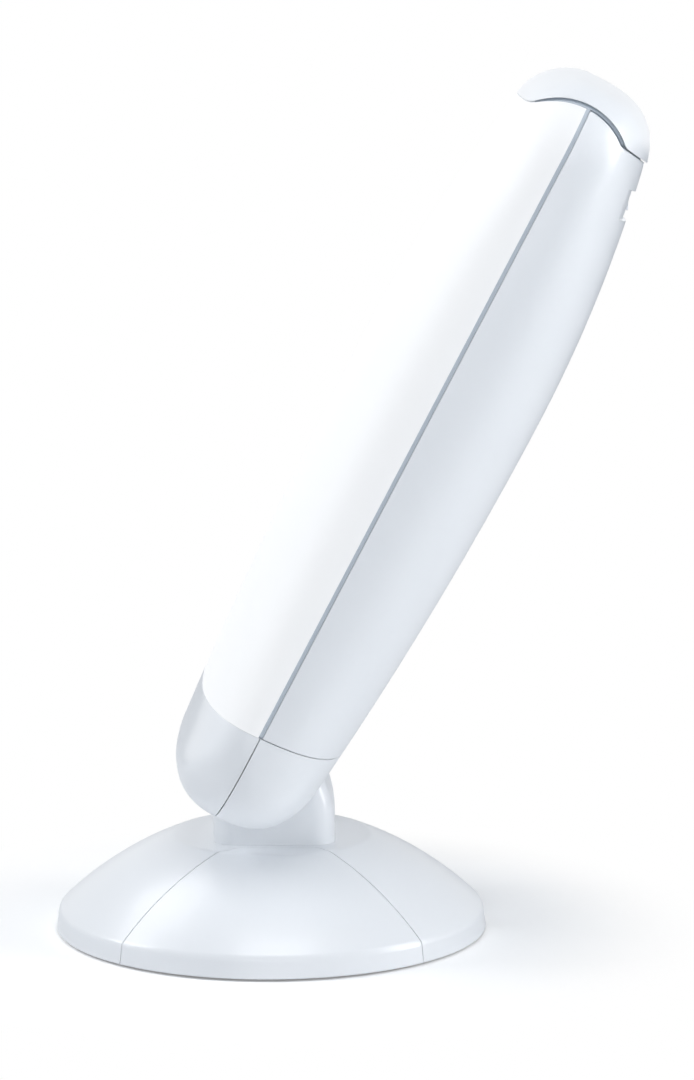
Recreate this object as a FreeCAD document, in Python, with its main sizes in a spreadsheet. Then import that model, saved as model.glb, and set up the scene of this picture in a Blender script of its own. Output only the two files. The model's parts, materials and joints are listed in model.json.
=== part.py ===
"""Light therapy lamp: a tilting two-tube light panel on a round, weighted foot.

Millimetres. Z is up, X is the width and the light shines towards -Y. The origin is the centre of
the foot, on the surface that the lamp stands on.

The head's pieces are drawn in the head's own frame and then seated with one placement. That frame
has its origin on the tilt axle; its Z runs up the head, and its -Y side is the lit face.
"""
import FreeCAD, Part

import math
import os
import re

import Sketcher
from FreeCAD import Placement, Rotation, Vector

# Driving dimensions: alias, value and what it measures.
SIZES = {
    # Foot
    "base_radius": (130, "foot, radius at the lower edge of the rim"),
    "rim_draft": (1.6, "how far the rim leans in towards its top"),
    "rim_bottom": (1.6, "gap under the rim"),
    "rim_top": (13.6, "height of the top of the rim"),
    "rim_rounding": (6, "rounding between rim and dome"),
    "dome_radius": (207, "radius of the dome's arc"),
    "collar_radius": (60, "radius of the flat collar round the neck"),
    "collar_height": (57.7, "height of the flat collar"),
    "collar_rounding": (9, "soft crease between dome and collar"),
    "cover_wall": (2.6, "wall of the foot cover and neck"),
    "ledge_depth": (1.8, "thickness of the ledge under the side panels"),
    "ledge_width": (6, "how far the ledge reaches under a side panel"),
    "panel_seam": (0.5, "gap round a side panel"),
    "panel_fit": (0.1, "clearance between a side panel and its ledge"),
    "panel_middle": (4.2, "middle of the side panels along Y"),
    "panel_gap_to_neck": (4.6, "from the neck's side to the panel's inner edge"),
    "panel_inner_half": (22, "half length of the panel's straight inner edge"),
    "panel_shoulder_out": (47, "distance from the middle to the panel's shoulder, along X"),
    "panel_shoulder_half": (28.4, "half width of the panel at its shoulder"),
    "panel_rim_angle": (43.3, "angle from X at which the panel's seam passes out of the foot"),
    "panel_rim_reach": (7.3, "how far outside the foot that place lies"),
    "panel_edge_bow": (1600, "radius of the panel's bowed seam"),
    "panel_corner_bow": (14, "radius of the panel's inner corner"),
    # Foot, inside
    "plate_inset": (3.5, "from the foot's edge to the base plate's"),
    "plate_bottom": (2.4, "height of the base plate's underside"),
    "plate_thickness": (2, "thickness of the base plate"),
    "foot_radius": (9, "radius of a rubber foot"),
    "foot_recess": (0.8, "depth of the seat of a rubber foot"),
    "foot_inset": (22, "from the foot's edge to the circle of the rubber feet"),
    "foot_count": (5, "number of rubber feet"),
    "weight_inset": (32, "from the foot's edge to the ballast weight's"),
    "weight_thickness": (8, "thickness of the ballast weight"),
    "boss_inset": (16, "from the foot's edge to the circle of the cover bosses"),
    "boss_angle": (25, "angle of a cover boss from the Y axis"),
    "boss_radius": (4.2, "radius of a cover boss"),
    "cover_screw_radius": (1.45, "shank radius of a cover screw"),
    "cover_screw_length": (11, "length of a cover screw's shank"),
    "screw_head_height": (1.3, "height of a flat screw head"),
    "screw_fit": (0.15, "clearance round a screw"),
    "cross_width": (0.8, "width of the cross in a screw's head"),
    "cross_depth": (0.8, "depth of the cross or socket in a screw's head"),
    # Neck
    "neck_half_width": (35, "half width of the neck, along X"),
    "neck_ahead": (24.9, "from the axle to the neck's front face"),
    "neck_behind_foot": (48, "from the axle to the neck's rear face at the collar"),
    "neck_behind_top": (46.8, "from the axle to the neck's rear face at its shoulder"),
    "rear_shoulder_drop": (36.9, "from the axle down to the neck's rear shoulder"),
    "front_shoulder_drop": (16, "from the axle down to the neck's front shoulder"),
    "neck_crown_half": (10, "half length of the neck's flat top"),
    "neck_crown_rise": (13.5, "from the axle to the neck's top"),
    "neck_corner": (12, "rounding of the neck's long edges"),
    "neck_turn": (13.5, "rounding between the faces of the neck's outline"),
    "neck_rear_turn": (70, "rounding of the rear shoulder"),
    # Tilt joint
    "hinge_y": (-9.3, "place of the tilt axle along Y"),
    "hinge_height": (128, "height of the tilt axle"),
    "head_lean": (27.37, "how far the head leans back, in degrees"),
    "tilt_back": (4, "how much further the head tilts back, in degrees"),
    "axle_radius": (5, "radius of the tilt axle"),
    "running_fit": (0.05, "radial clearance of the axle in its bushes"),
    "seat_fit": (0.02, "radial clearance of a fixed piece in its seat"),
    "bush_wall": (1.5, "wall of an axle bush"),
    "bush_flange": (1.2, "thickness of a bush flange"),
    "bush_length": (16, "length of a bush in the barrel"),
    "barrel_radius": (9.5, "radius of the barrel on the post"),
    "barrel_gap": (6.4, "from the neck's wall to the end of the barrel"),
    "axle_hole_gap": (1, "clearance round the axle in the neck's sides"),
    "cheek_gap": (1.5, "gap between the neck and a cheek of the head"),
    "cheek_wall": (2, "wall of the cheeks and of the slot's roof"),
    "slot_clearance": (3, "gap before and behind the neck in the slot"),
    "washer_thickness": (1.2, "thickness of a friction washer"),
    "washer_radius": (10, "radius of a friction washer"),
    "spring_washer_thickness": (1.4, "thickness of a spring washer"),
    "axle_head_radius": (8, "radius of the axle's head"),
    "axle_head_length": (4.5, "length of the axle's head"),
    "nut_length": (5.5, "length of the lock nut"),
    "nut_across_flats": (15, "width of the lock nut across its flats"),
    "bracket_thickness": (2.4, "thickness of a hinge bracket"),
    "bracket_eye_radius": (12.5, "radius of a bracket's eye"),
    "bracket_flange": (21, "width of a bracket's flange, along X"),
    "bracket_top": (96, "top of the bracket's flange above the axle"),
    "bracket_web_top": (20, "top of the bracket's deep web above the axle"),
    "bracket_screw_radius": (2, "radius of a bracket screw"),
    # Post
    "post_width": (40, "post, outside width along X"),
    "post_depth": (22, "post, outside depth along Y"),
    "post_wall": (2.5, "wall of the post"),
    "post_foot_length": (92, "foot plate of the post, along Y"),
    "post_foot_width": (70, "foot plate of the post, along X"),
    "post_foot_thickness": (4, "thickness of the post's foot plate"),
    "bolt_radius": (3, "radius of a post bolt"),
    "bolt_x": (27, "place of the post bolts along X"),
    "bolt_y": (36, "place of the post bolts along Y"),
    "bolt_head_radius": (5.2, "radius of a post bolt's head"),
    "post_nut_height": (5, "height of a post nut"),
    # Power inlet and lead
    "inlet_width": (16, "power inlet, width of its body"),
    "inlet_height": (8, "power inlet, height of its body"),
    "inlet_bottom": (4.8, "power inlet, height of its underside"),
    "inlet_depth": (20, "power inlet, depth of its body"),
    "inlet_wall": (1.2, "power inlet, wall round its socket"),
    "inlet_socket_depth": (11, "power inlet, depth of its socket"),
    "inlet_setback": (2.4, "power inlet, from the foot's edge to its outer face"),
    "inlet_pin_radius": (1.2, "radius of an inlet pin"),
    "inlet_pin_spacing": (8.6, "distance between the inlet pins"),
    "inlet_board_height": (20, "height of the board behind the inlet"),
    "lead_radius": (2.4, "radius of the internal lead"),
    "lead_height": (20, "height of the lead's level run"),
    "lead_bend": (20, "radius of the lead's bend"),
    "lead_gap": (4.9, "gap between the post and the lead's upright run"),
    "lead_top_drop": (20, "from the axle down to the top of the lead's upright run"),
    # Head form
    "head_half_width": (109.3, "half width of the head"),
    "head_top": (433.1, "top of the head above the axle"),
    "head_bottom": (50.1, "bottom of the head below the axle"),
    "belly_height": (238.5, "height of the thickest section above the axle"),
    "front_belly": (48.1, "depth in front of the seam at the thickest section"),
    "rear_belly": (65.7, "depth behind the seam at the thickest section"),
    "low_station_rise": (22.1, "from the head's bottom up to the lower depths"),
    "front_low": (37.4, "front depth at the lower station"),
    "rear_low": (49.3, "rear depth at the lower station"),
    "high_station_drop": (5.1, "from the head's top down to the upper depths"),
    "front_high": (27.5, "front depth at the upper station"),
    "rear_high": (42.8, "rear depth at the upper station"),
    "front_low_rounding": (24, "height over which the front rounds in at the bottom"),
    "rear_low_rounding": (41.4, "height over which the rear rounds in at the bottom"),
    "front_high_rounding": (25.1, "height over which the front rounds in at the top"),
    "rear_high_rounding": (36.8, "height over which the rear rounds in at the top"),
    "low_corner": (45.9, "corner radius of the head's outline at the bottom"),
    "high_corner": (33, "corner radius of the head's outline at the top"),
    "crown": (13.7, "how much higher the head is in the middle than at its sides"),
    "squareness": (2.68, "exponent of the head's section across its width"),
    "front_low_squareness": (2.2, "exponent of the front's rounding at the bottom"),
    "rear_low_squareness": (2.8, "exponent of the rear's rounding at the bottom"),
    "front_high_squareness": (2.0, "exponent of the front's rounding at the top"),
    "rear_high_squareness": (3.2, "exponent of the rear's rounding at the top"),
    "end_span": (56, "height of the closely spaced sections at either end"),
    # Head shells
    "shell_wall": (2.2, "wall of the diffuser, housing and caps"),
    "seam_gap": (2.5, "gap between diffuser and rear housing"),
    "hairline": (0.5, "gap between the lower caps, and above the rear one"),
    "front_gap": (0.15, "gap between the diffuser and the front cap"),
    "cap_cut": (11.6, "height of the lower caps' upper edge above the axle"),
    "cap_cut_tilt": (2.3, "slope of that edge towards the rear, in degrees"),
    "frame_fit": (0.25, "clearance between the shells and the frame inside"),
    "frame_wall": (2.4, "wall of the frame"),
    "frame_rail": (7, "half width of the frame's side rails"),
    "frame_band": (8, "half height of the frame's lower band"),
    "rail_inset": (1.5, "how far the side rails lie inside the bands' outer face"),
    "arch_crown_drop": (15.4, "from the head's top down to the crown of the top cap's arch"),
    "arch_front_radius": (37, "radius of the top cap's arch in front of its crown"),
    "arch_rear_radius": (41, "radius of the top cap's arch behind its crown"),
    "arch_front_rise": (14.8, "rise of the arch from its front foot to its crown"),
    "arch_rear_rise": (12.1, "rise of the arch from its rear foot to its crown"),
    "arch_foot_slope": (7.6, "slope of the rear foot towards the rear, in degrees"),
    "arch_foot_rounding": (6.5, "rounding between arch and feet"),
    "arch_gap": (2.7, "open band between the top cap and the shells, at the crown"),
    "shell_front_radius": (40, "radius of the shells' upper edge in front of its crown"),
    "shell_rear_radius": (39, "radius of the shells' upper edge behind its crown"),
    "tongue_drop": (0.9, "how far the frame's tongues lie below the head's surface"),
    "tongue_fit": (0.1, "clearance beside a tongue"),
    "tongue_half": (27, "half length of the tongue along the arch"),
    "shadow_gap": (0.8, "gap between the tongue and the rear housing's arch"),
    "cap_overhang_rear": (1.8, "how far the top cap stands proud at the rear"),
    "cap_overhang_side": (0.7, "how far the top cap stands proud elsewhere"),
    "top_band_drop": (29.6, "from the arch's crown down to the lower edge of the frame's top band"),
    # Head, inside
    "tube_spacing": (70, "from the middle of the head to the middle of a tube pair"),
    "tube_y": (-2, "place of the tubes along Y"),
    "tube_radius": (8.75, "radius of a lamp tube"),
    "tube_wall": (1, "wall of a lamp tube"),
    "tube_pitch": (20.5, "distance between the two legs of a tube"),
    "tube_top_gap": (27.1, "from the head's top down to the tips of the lamps"),
    "tube_bridge": (14, "distance of the bridge below the tube's tip"),
    "tube_bridge_radius": (5, "radius of the bridge between the legs"),
    "lamp_base_height": (26, "height of a lamp's moulded base"),
    "lamp_base_width": (40, "width of a lamp's moulded base"),
    "lamp_base_depth": (22, "depth of a lamp's moulded base"),
    "lamp_seat": (-4, "height of a lamp's foot above the axle"),
    "tube_socket": (12, "how deep a tube sits in its base"),
    "lamp_pin_radius": (1.2, "radius of a lamp pin"),
    "lamp_pin_length": (6.5, "length of a lamp pin"),
    "lamp_pin_pitch": (7, "distance between two lamp pins"),
    "holder_height": (20, "height of a lampholder"),
    "holder_margin": (1, "how much larger a lampholder is than the lamp's base"),
    "clip_drop": (76, "from the tips of the lamps down to the tube clips"),
    "clip_width": (12, "height of a tube clip"),
    "reflector_y": (9.5, "front face of the reflector's troughs"),
    "reflector_ridge": (9, "how far the reflector's ridge stands forward"),
    "reflector_side_gap": (11.3, "from the head's side to the reflector's"),
    "reflector_lip": (15, "how far the reflector's side lips stand forward"),
    "reflector_sheet": (0.8, "thickness of the reflector sheet"),
    "reflector_end_gap": (6.4, "from the frame's lower band to the reflector"),
    "reflector_top_gap": (4, "from the reflector to the frame's top band"),
    "chassis_y": (13, "front face of the chassis plate"),
    "chassis_sheet": (1.5, "thickness of the chassis plate"),
    "chassis_side_gap": (14.3, "from the head's side to the chassis plate's"),
    "chassis_end_gap": (4.4, "from the frame's lower band to the chassis plate"),
    "ballast_width": (42, "width of the ballast"),
    "ballast_depth": (24, "depth of the ballast"),
    "ballast_length": (230, "length of the ballast"),
    "ballast_gap": (19.8, "from the switch recess down to the ballast"),
    "ballast_sheet": (1, "wall of the ballast's case"),
    "board_standoff": (3, "gap between the case's floor and the ballast's board"),
    "board_thickness": (1.6, "thickness of a circuit board"),
    "terminal_width": (34, "width of the terminal block"),
    "terminal_depth": (13, "depth of the terminal block"),
    "terminal_height": (16, "height of the terminal block"),
    "terminal_gap": (32, "from the ballast down to the terminal block"),
    "terminal_ways": (4, "number of ways in the terminal block"),
    "terminal_hole_radius": (1.6, "radius of a wire hole in the terminal block"),
    "housing_screw_x": (30, "place of the housing screws along X"),
    "housing_screw_rise": (28.4, "from the frame's lower band up to the lower housing screws"),
    "housing_screw_drop": (43, "from the frame's top band down to the upper housing screws"),
    "housing_boss_radius": (5.4, "radius of a housing boss"),
    "housing_boss_floor": (5, "thickness of a boss under its screw head"),
    "housing_screw_radius": (1.9, "shank radius of a housing screw"),
    "housing_head_radius": (3.6, "head radius of a housing screw"),
    "housing_head_height": (2.6, "head height of a housing screw"),
    "vent_width": (66, "width of a cooling slot"),
    "vent_height": (3, "height of a cooling slot"),
    "vent_pitch": (8, "distance between cooling slots"),
    "vent_count": (7, "number of cooling slots in a field"),
    "vent_low": (60, "lowest slot of the lower field above the axle"),
    "vent_high": (270, "lowest slot of the upper field above the axle"),
    # Switch
    "switch_drop": (41, "from the arch's crown down to the middle of the switch recess"),
    "recess_height": (17.6, "height of the switch recess"),
    "recess_half_width": (76, "half width of the switch recess"),
    "switch_width": (21, "width of the switch's bezel"),
    "switch_bezel_height": (15, "height of the switch's bezel"),
    "switch_bezel": (1.4, "thickness of the switch's bezel"),
    "switch_rim": (1.3, "overlap of the bezel round the switch's body"),
    "switch_depth": (15, "depth of the switch's body"),
    "rocker_half_width": (7.9, "half width of the rocker"),
    "rocker_half_length": (5, "half length of the rocker"),
    "rocker_gap": (0.4, "gap round the rocker"),
    "rocker_pivot": (1, "depth of the rocker's pivot behind the recess floor"),
    "rocker_stub_radius": (1.2, "radius of the rocker's pivot stubs"),
    "rocker_stub": (0.6, "length of a pivot stub in the switch's wall"),
    "rocker_rise": (2.4, "height of the rocker's ends over the recess floor"),
    "rocker_drop": (2.5, "depth of the rocker behind its pivot"),
    "rocker_tilt": (7, "tilt of the rocker either way, in degrees"),
    "blade_width": (4.8, "width of a switch terminal"),
    "blade_thickness": (0.8, "thickness of a switch terminal"),
    "blade_length": (7.5, "length of a switch terminal"),
}

# How finely the head's surface is drawn: points round a section, and sections up the head.
POINT_COUNT = 22
END_SECTION_COUNT = 8
MIDDLE_SECTION_COUNT = 7

doc = FreeCAD.newDocument("light_therapy_lamp")
sheet = doc.addObject("Spreadsheet::Sheet", "lamp")
pieces = {}


# Places that follow from the sizes above.
PLACES = {
    "rim_top_radius": ("base_radius - rim_draft", "foot, radius at the top of the rim"),
    "plate_radius": ("base_radius - plate_inset", "radius of the base plate"),
    "foot_circle": ("base_radius - foot_inset", "radius on which the rubber feet sit"),
    "weight_radius": ("base_radius - weight_inset", "radius of the ballast weight"),
    "boss_circle": ("base_radius - boss_inset", "radius on which the cover bosses stand"),
    "inlet_face": ("base_radius - inlet_setback", "power inlet, its outer face along Y"),
    "neck_front": ("hinge_y - neck_ahead", "front face of the neck"),
    "neck_rear_foot": ("hinge_y + neck_behind_foot", "rear face of the neck at the collar"),
    "neck_rear_top": ("hinge_y + neck_behind_top", "rear face of the neck at its shoulder"),
    "neck_rear_shoulder": ("hinge_height - rear_shoulder_drop", "height of the rear shoulder"),
    "neck_front_shoulder": ("hinge_height - front_shoulder_drop", "height of the front shoulder"),
    "barrel_half_length": ("neck_half_width - cover_wall - barrel_gap", "half length of the barrel"),
    "lead_back": ("hinge_y + post_depth / 2 + lead_gap + lead_radius", "the lead's upright run"),
    "lead_top": ("hinge_height - lead_top_drop", "top of the lead's upright run"),
    "dome_run": ("base_radius - rim_draft - collar_radius", "the dome's arc along X"),
    "dome_rise": ("collar_height - rim_top", "the dome's arc along Z"),
    "dome_chord": ("sqrt(dome_run^2 + dome_rise^2)", "straight way across the dome's arc"),
    "dome_reach": ("sqrt(dome_radius^2 - dome_chord^2 / 4)", "from the chord to the arc's centre"),
    "dome_x": ("(rim_top_radius + collar_radius) / 2 - dome_reach * dome_rise / dome_chord",
               "centre of the dome's arc along X"),
    "dome_z": ("(rim_top + collar_height) / 2 - dome_reach * dome_run / dome_chord",
               "centre of the dome's arc along Z"),
    "low_station": ("low_station_rise - head_bottom", "height of the lower depths"),
    "high_station": ("head_top - high_station_drop", "height of the upper depths"),
    "arch_crown": ("head_top - arch_crown_drop", "crown of the top cap's arch"),
    "top_band_bottom": ("arch_crown - top_band_drop", "lower edge of the frame's top band"),
    "low_band_top": ("cap_cut + frame_band", "upper edge of the frame's lower band"),
    "tube_length": ("head_top - tube_top_gap - lamp_seat", "lamp, from its foot to its tip"),
    "clip_height": ("head_top - tube_top_gap - clip_drop", "height of the tube clips"),
    "reflector_half_width": ("head_half_width - reflector_side_gap", "half width of the reflector"),
    "reflector_bottom": ("low_band_top + reflector_end_gap", "bottom of the reflector"),
    "reflector_top": ("top_band_bottom - reflector_top_gap", "top of the reflector"),
    "chassis_half_width": ("head_half_width - chassis_side_gap", "half width of the chassis plate"),
    "chassis_bottom": ("low_band_top + chassis_end_gap", "bottom of the chassis plate"),
    "chassis_top": ("top_band_bottom - reflector_top_gap", "top of the chassis plate"),
    "housing_screw_low": ("low_band_top + housing_screw_rise", "height of the lower housing screws"),
    "housing_screw_high": ("top_band_bottom - housing_screw_drop", "height of the upper ones"),
    "switch_height": ("arch_crown - switch_drop", "middle of the switch recess"),
    "ballast_bottom": ("switch_height - recess_height / 2 - ballast_gap - ballast_length",
                       "bottom of the ballast"),
    "terminal_bottom": ("ballast_bottom - terminal_gap - terminal_height",
                        "bottom of the terminal block"),
}


# --- Expressions -----------------------------------------------------------------------------

def fill_sheet():
    """Write the sizes as plain numbers, and the places as formulas of them."""
    for row, (alias, (content, meaning)) in enumerate(list(SIZES.items()) + list(PLACES.items()), 1):
        sheet.set("A%d" % row, meaning)
        sheet.set("B%d" % row, "=" + content if alias in PLACES else str(content))
        sheet.setAlias("B%d" % row, alias)
    doc.recompute()


fill_sheet()


def bound(text):
    """Write the sheet's name before each alias in an expression."""
    return re.sub(r"[a-z_]+", lambda word: "lamp." + word.group()
                  if word.group() in SIZES or word.group() in PLACES else word.group(), str(text))


def value(text):
    """The number that an expression of the sheet's aliases gives."""
    return float(sheet.evalExpression(bound(text)))


def total(*terms):
    return "(" + " + ".join("(%s)" % term for term in terms) + ")"


def less(first, second):
    return "((%s) - (%s))" % (first, second)


def turned(y, z, angle):
    """A point of the YZ plane turned backwards into the frame of a head that leans by angle."""
    ahead = "((%s) * cos(%s) - (%s) * sin(%s))" % (y, angle, z, angle)
    up = "((%s) * sin(%s) + (%s) * cos(%s))" % (y, angle, z, angle)
    return ahead, up


HEAD = ("placement(vector(0; hinge_y; hinge_height); "
        "rotation(vector(1; 0; 0); 0 - head_lean))")


# --- Solids ----------------------------------------------------------------------------------

AIM = {"X": Rotation(Vector(0, 1, 0), 90), "Y": Rotation(Vector(1, 0, 0), -90), "Z": Rotation()}


def move(item, x, y, z):
    for axis, place in zip("xyz", (x, y, z)):
        item.setExpression("Placement.Base." + axis, bound(place))


def block(name, width, depth, height, x="0", y="0", z="0"):
    """A box centred on x and y that stands on z."""
    item = doc.addObject("Part::Box", name)
    for key, length in (("Length", width), ("Width", depth), ("Height", height)):
        item.setExpression(key, bound(length))
    move(item, less(x, "(%s) / 2" % width), less(y, "(%s) / 2" % depth), z)
    return item


def span(name, low, high):
    """A box from the corner low to the corner high."""
    item = doc.addObject("Part::Box", name)
    for key, start, stop in zip(("Length", "Width", "Height"), low, high):
        item.setExpression(key, bound(less(stop, start)))
    move(item, *low)
    return item


def rod(name, radius, length, x="0", y="0", z="0", along="Z"):
    """A cylinder that starts at x, y, z and runs along an axis."""
    item = doc.addObject("Part::Cylinder", name)
    item.setExpression("Radius", bound(radius))
    item.setExpression("Height", bound(length))
    item.Placement = Placement(Vector(), AIM[along])
    move(item, x, y, z)
    return item


def ball(name, radius, x, y, z):
    item = doc.addObject("Part::Sphere", name)
    item.setExpression("Radius", bound(radius))
    move(item, x, y, z)
    return item


def fuse(name, *items):
    if len(items) == 1:
        return items[0]
    item = doc.addObject("Part::MultiFuse", name)
    item.Shapes = list(items)
    return item


def overlap(name, first, second):
    item = doc.addObject("Part::Common", name)
    item.Base = first
    item.Tool = second
    return item


def cut(name, base, *tools):
    item = doc.addObject("Part::Cut", name)
    item.Base = base
    item.Tool = fuse(name + "_tool", *tools)
    return item


def group(name, *items):
    item = doc.addObject("Part::Compound", name)
    item.Links = list(items)
    return item


def ring(name, outer, inner, length, x="0", y="0", z="0", along="Z"):
    return cut(name, rod(name + "_rim", outer, length, x, y, z, along),
               rod(name + "_bore", inner, length, x, y, z, along))


def keep(label, item, frame=None):
    """Name a finished piece and seat it in its frame."""
    if frame:
        if item.TypeId in ("Part::Box", "Part::Cylinder", "Part::Feature") or "Body" in item.TypeId:
            item = group(label + "_seat", item)
        item.setExpression("Placement", bound(frame))
    item.Label = label
    pieces[label] = item
    return item


def mirror_x(name, item):
    """The same solid on the other side of the middle plane."""
    twin = doc.addObject("Part::Mirroring", name)
    twin.Source = item
    twin.Normal = Vector(1, 0, 0)
    return twin


# --- Sketched bodies -------------------------------------------------------------------------

def body_plane(body, role):
    return next(plane for plane in body.Origin.OriginFeatures if plane.Role == role)


def arc_through(start, end, radius):
    """An arc that bulges to the right of the way from start to end."""
    middle = (start + end) * 0.5
    way = (end - start).normalize()
    left = Vector(-way.y, way.x, 0)
    reach = math.sqrt(radius ** 2 - (start.distanceToPoint(end) / 2) ** 2)
    centre = middle + left * reach
    first = math.atan2(start.y - centre.y, start.x - centre.x)
    last = math.atan2(end.y - centre.y, end.x - centre.x)
    circle = Part.Circle(centre, Vector(0, 0, 1), radius)
    return Part.ArcOfCircle(circle, first, last if last > first else last + 2 * math.pi)


def outline(body, name, role, corners, offset="0"):
    """Sketch a closed outline that runs counter-clockwise through its corners.

    A corner is (x, y), or (x, y, radius) where the edge that leaves it is an arc that bulges
    outwards, or (x, y, radius, True) where that arc bulges inwards.
    """
    sketch = body.newObject("Sketcher::SketchObject", name)
    sketch.AttachmentSupport = [(body_plane(body, role), "")]
    sketch.MapMode = "FlatFace"
    sketch.setExpression("AttachmentOffset.Base.z", bound(offset))
    points = [Vector(value(corner[0]), value(corner[1]), 0) for corner in corners]
    ends = []
    for index, corner in enumerate(corners):
        start, end = points[index], points[(index + 1) % len(points)]
        inwards = len(corner) == 4
        ends.append((2, 1) if inwards else (1, 2))
        if len(corner) > 2:
            if inwards:
                start, end = end, start
            sketch.addGeometry(arc_through(start, end, value(corner[2])))
            radius = sketch.addConstraint(Sketcher.Constraint("Radius", index, value(corner[2])))
            sketch.setExpression("Constraints[%d]" % radius, bound(corner[2]))
        else:
            sketch.addGeometry(Part.LineSegment(start, end))
    for index, corner in enumerate(corners):
        after = (index + 1) % len(corners)
        sketch.addConstraint(Sketcher.Constraint("Coincident", index, ends[index][1], after,
                                                 ends[after][0]))
        for kind, amount, text in (("DistanceX", points[index].x, corner[0]),
                                   ("DistanceY", points[index].y, corner[1])):
            place = sketch.addConstraint(Sketcher.Constraint(kind, -1, 1, index, ends[index][0],
                                                             amount))
            sketch.setExpression("Constraints[%d]" % place, bound(text))
    return sketch


def pad(body, sketch, length):
    feature = body.newObject("PartDesign::Pad", sketch.Name + "_pad")
    feature.Profile = sketch
    feature.setExpression("Length", bound(length))
    return feature


def spin(body, sketch):
    feature = body.newObject("PartDesign::Revolution", sketch.Name + "_spin")
    feature.Profile = sketch
    feature.ReferenceAxis = (sketch, ["V_Axis"])
    feature.Angle = 360
    return feature


def round_edges(body, feature, radius, chosen):
    """Round the edges of a feature that the test chosen picks."""
    doc.recompute()
    names = ["Edge%d" % number for number, edge in enumerate(feature.Shape.Edges, 1) if chosen(edge)]
    fillet = body.newObject("PartDesign::Fillet", feature.Name + "_round")
    fillet.Base = (feature, names)
    fillet.setExpression("Radius", bound(radius))
    return fillet


def edges_at(corners):
    """The test for edges that run across, along X, through one of the corners (y, z)."""
    places = [(value(corner[0]), value(corner[1])) for corner in corners]

    def chosen(edge):
        box = edge.BoundBox
        return box.YLength < 0.01 and box.ZLength < 0.01 and any(
            abs(box.YMin - y) < 0.02 and abs(box.ZMin - z) < 0.02 for y, z in places)
    return chosen


def sketched_body(name):
    return doc.addObject("PartDesign::Body", name)


def prism(name, role, corners, length, offset="0"):
    """A body padded from an outline on one of its own planes."""
    body = sketched_body(name)
    pad(body, outline(body, name + "_outline", role, corners, offset), length)
    return body


# --- Foot ------------------------------------------------------------------------------------

def dome_edge(inset):
    """Where the dome's arc, moved inwards by inset, meets the rim."""
    across = less("rim_top_radius", inset)
    return across, ("(dome_z + sqrt((dome_radius - (%s))^2 - (%s - dome_x)^2))" % (inset, across))


def dome_top(inset):
    """Where the dome's arc, moved inwards by inset, meets the collar."""
    height = less("collar_height", inset)
    return ("(dome_x + sqrt((dome_radius - (%s))^2 - (%s - dome_z)^2))" % (inset, height)), height


def dome(name, inset, thickness):
    """The foot's round shell: its outer face lies inset below the surface of the foot."""
    body = sketched_body(name)
    inner = total(inset, thickness)
    corners = [
        (less("base_radius", inner), "rim_bottom"),
        (less("base_radius", inset), "rim_bottom"),
        dome_edge(inset) + (less("dome_radius", inset),),
        dome_top(inset),
        ("0", less("collar_height", inset)),
        ("0", less("collar_height", inner)),
        dome_top(inner) + (less("dome_radius", inner), True),
        dome_edge(inner),
    ]
    profile = outline(body, name + "_profile", "XZ_Plane", corners)
    shell = spin(body, profile)

    def at(edge, radius, height):
        box = edge.BoundBox
        return abs(box.XMax - value(radius)) < 0.01 and abs(box.ZMax - value(height)) < 0.01 \
            and box.ZLength < 0.01
    rim = round_edges(body, shell, less("rim_rounding", inset), lambda edge: at(edge, *corners[2][:2]))
    round_edges(body, rim, "collar_rounding", lambda edge: at(edge, *corners[3][:2]))
    return body


def panel_area(name, margin):
    """The plan of a side panel, drawn out by a margin and stood up through the foot."""
    rim = "(base_radius + panel_rim_reach)"
    rim_x = "(%s * cos(panel_rim_angle) - (%s) * 0.77)" % (rim, margin)
    rim_y = "(%s * sin(panel_rim_angle) + (%s) * 0.63)" % (rim, margin)
    inner_x = less("neck_half_width + panel_gap_to_neck", margin)
    inner_y = total("panel_inner_half", "(%s) * 0.4" % margin)
    out_x = less("panel_shoulder_out", "(%s) * 0.77" % margin)
    out_y = total("panel_shoulder_half", "(%s) * 0.63" % margin)

    def low(half):
        return less("panel_middle", half)

    def high(half):
        return total("panel_middle", half)
    corners = [
        (inner_x, low(inner_y), "panel_corner_bow"),
        (out_x, low(out_y), "panel_edge_bow"),
        (rim_x, low(rim_y)),
        ("base_radius * 1.3", low(rim_y)),
        ("base_radius * 1.3", high(rim_y)),
        (rim_x, high(rim_y), "panel_edge_bow"),
        (out_x, high(out_y), "panel_corner_bow"),
        (inner_x, high(inner_y)),
    ]
    return prism(name, "XY_Plane", corners, "collar_height * 2")


def neck_form(name, inset, foot):
    """The neck's outer surface moved inwards by inset, as a solid."""
    crown_y = "neck_crown_half"
    corners = [
        (total("neck_front", inset), foot),
        (less("neck_rear_foot", inset), foot),
        (less("neck_rear_top", inset), less("neck_rear_shoulder", "(%s) / 2" % inset)),
        (total("hinge_y", crown_y), less("hinge_height + neck_crown_rise", inset)),
        (less("hinge_y", crown_y), less("hinge_height + neck_crown_rise", inset)),
        (total("neck_front", inset), less("neck_front_shoulder", "(%s) / 2" % inset)),
    ]
    half = less("neck_half_width", inset)
    body = prism(name, "YZ_Plane", corners, "2 * " + half, "0 - " + half)
    doc.recompute()
    low = value(foot) + 1

    def along(edge):
        return edge.BoundBox.XLength < 0.01 and edge.BoundBox.ZMax > low
    shoulder = round_edges(body, body.Tip, less("neck_rear_turn", inset), edges_at(corners[2:3]))
    turns = round_edges(body, shoulder, less("neck_turn", inset), edges_at(corners[3:]))
    round_edges(body, turns, less("neck_corner", inset), along)
    return body


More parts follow.
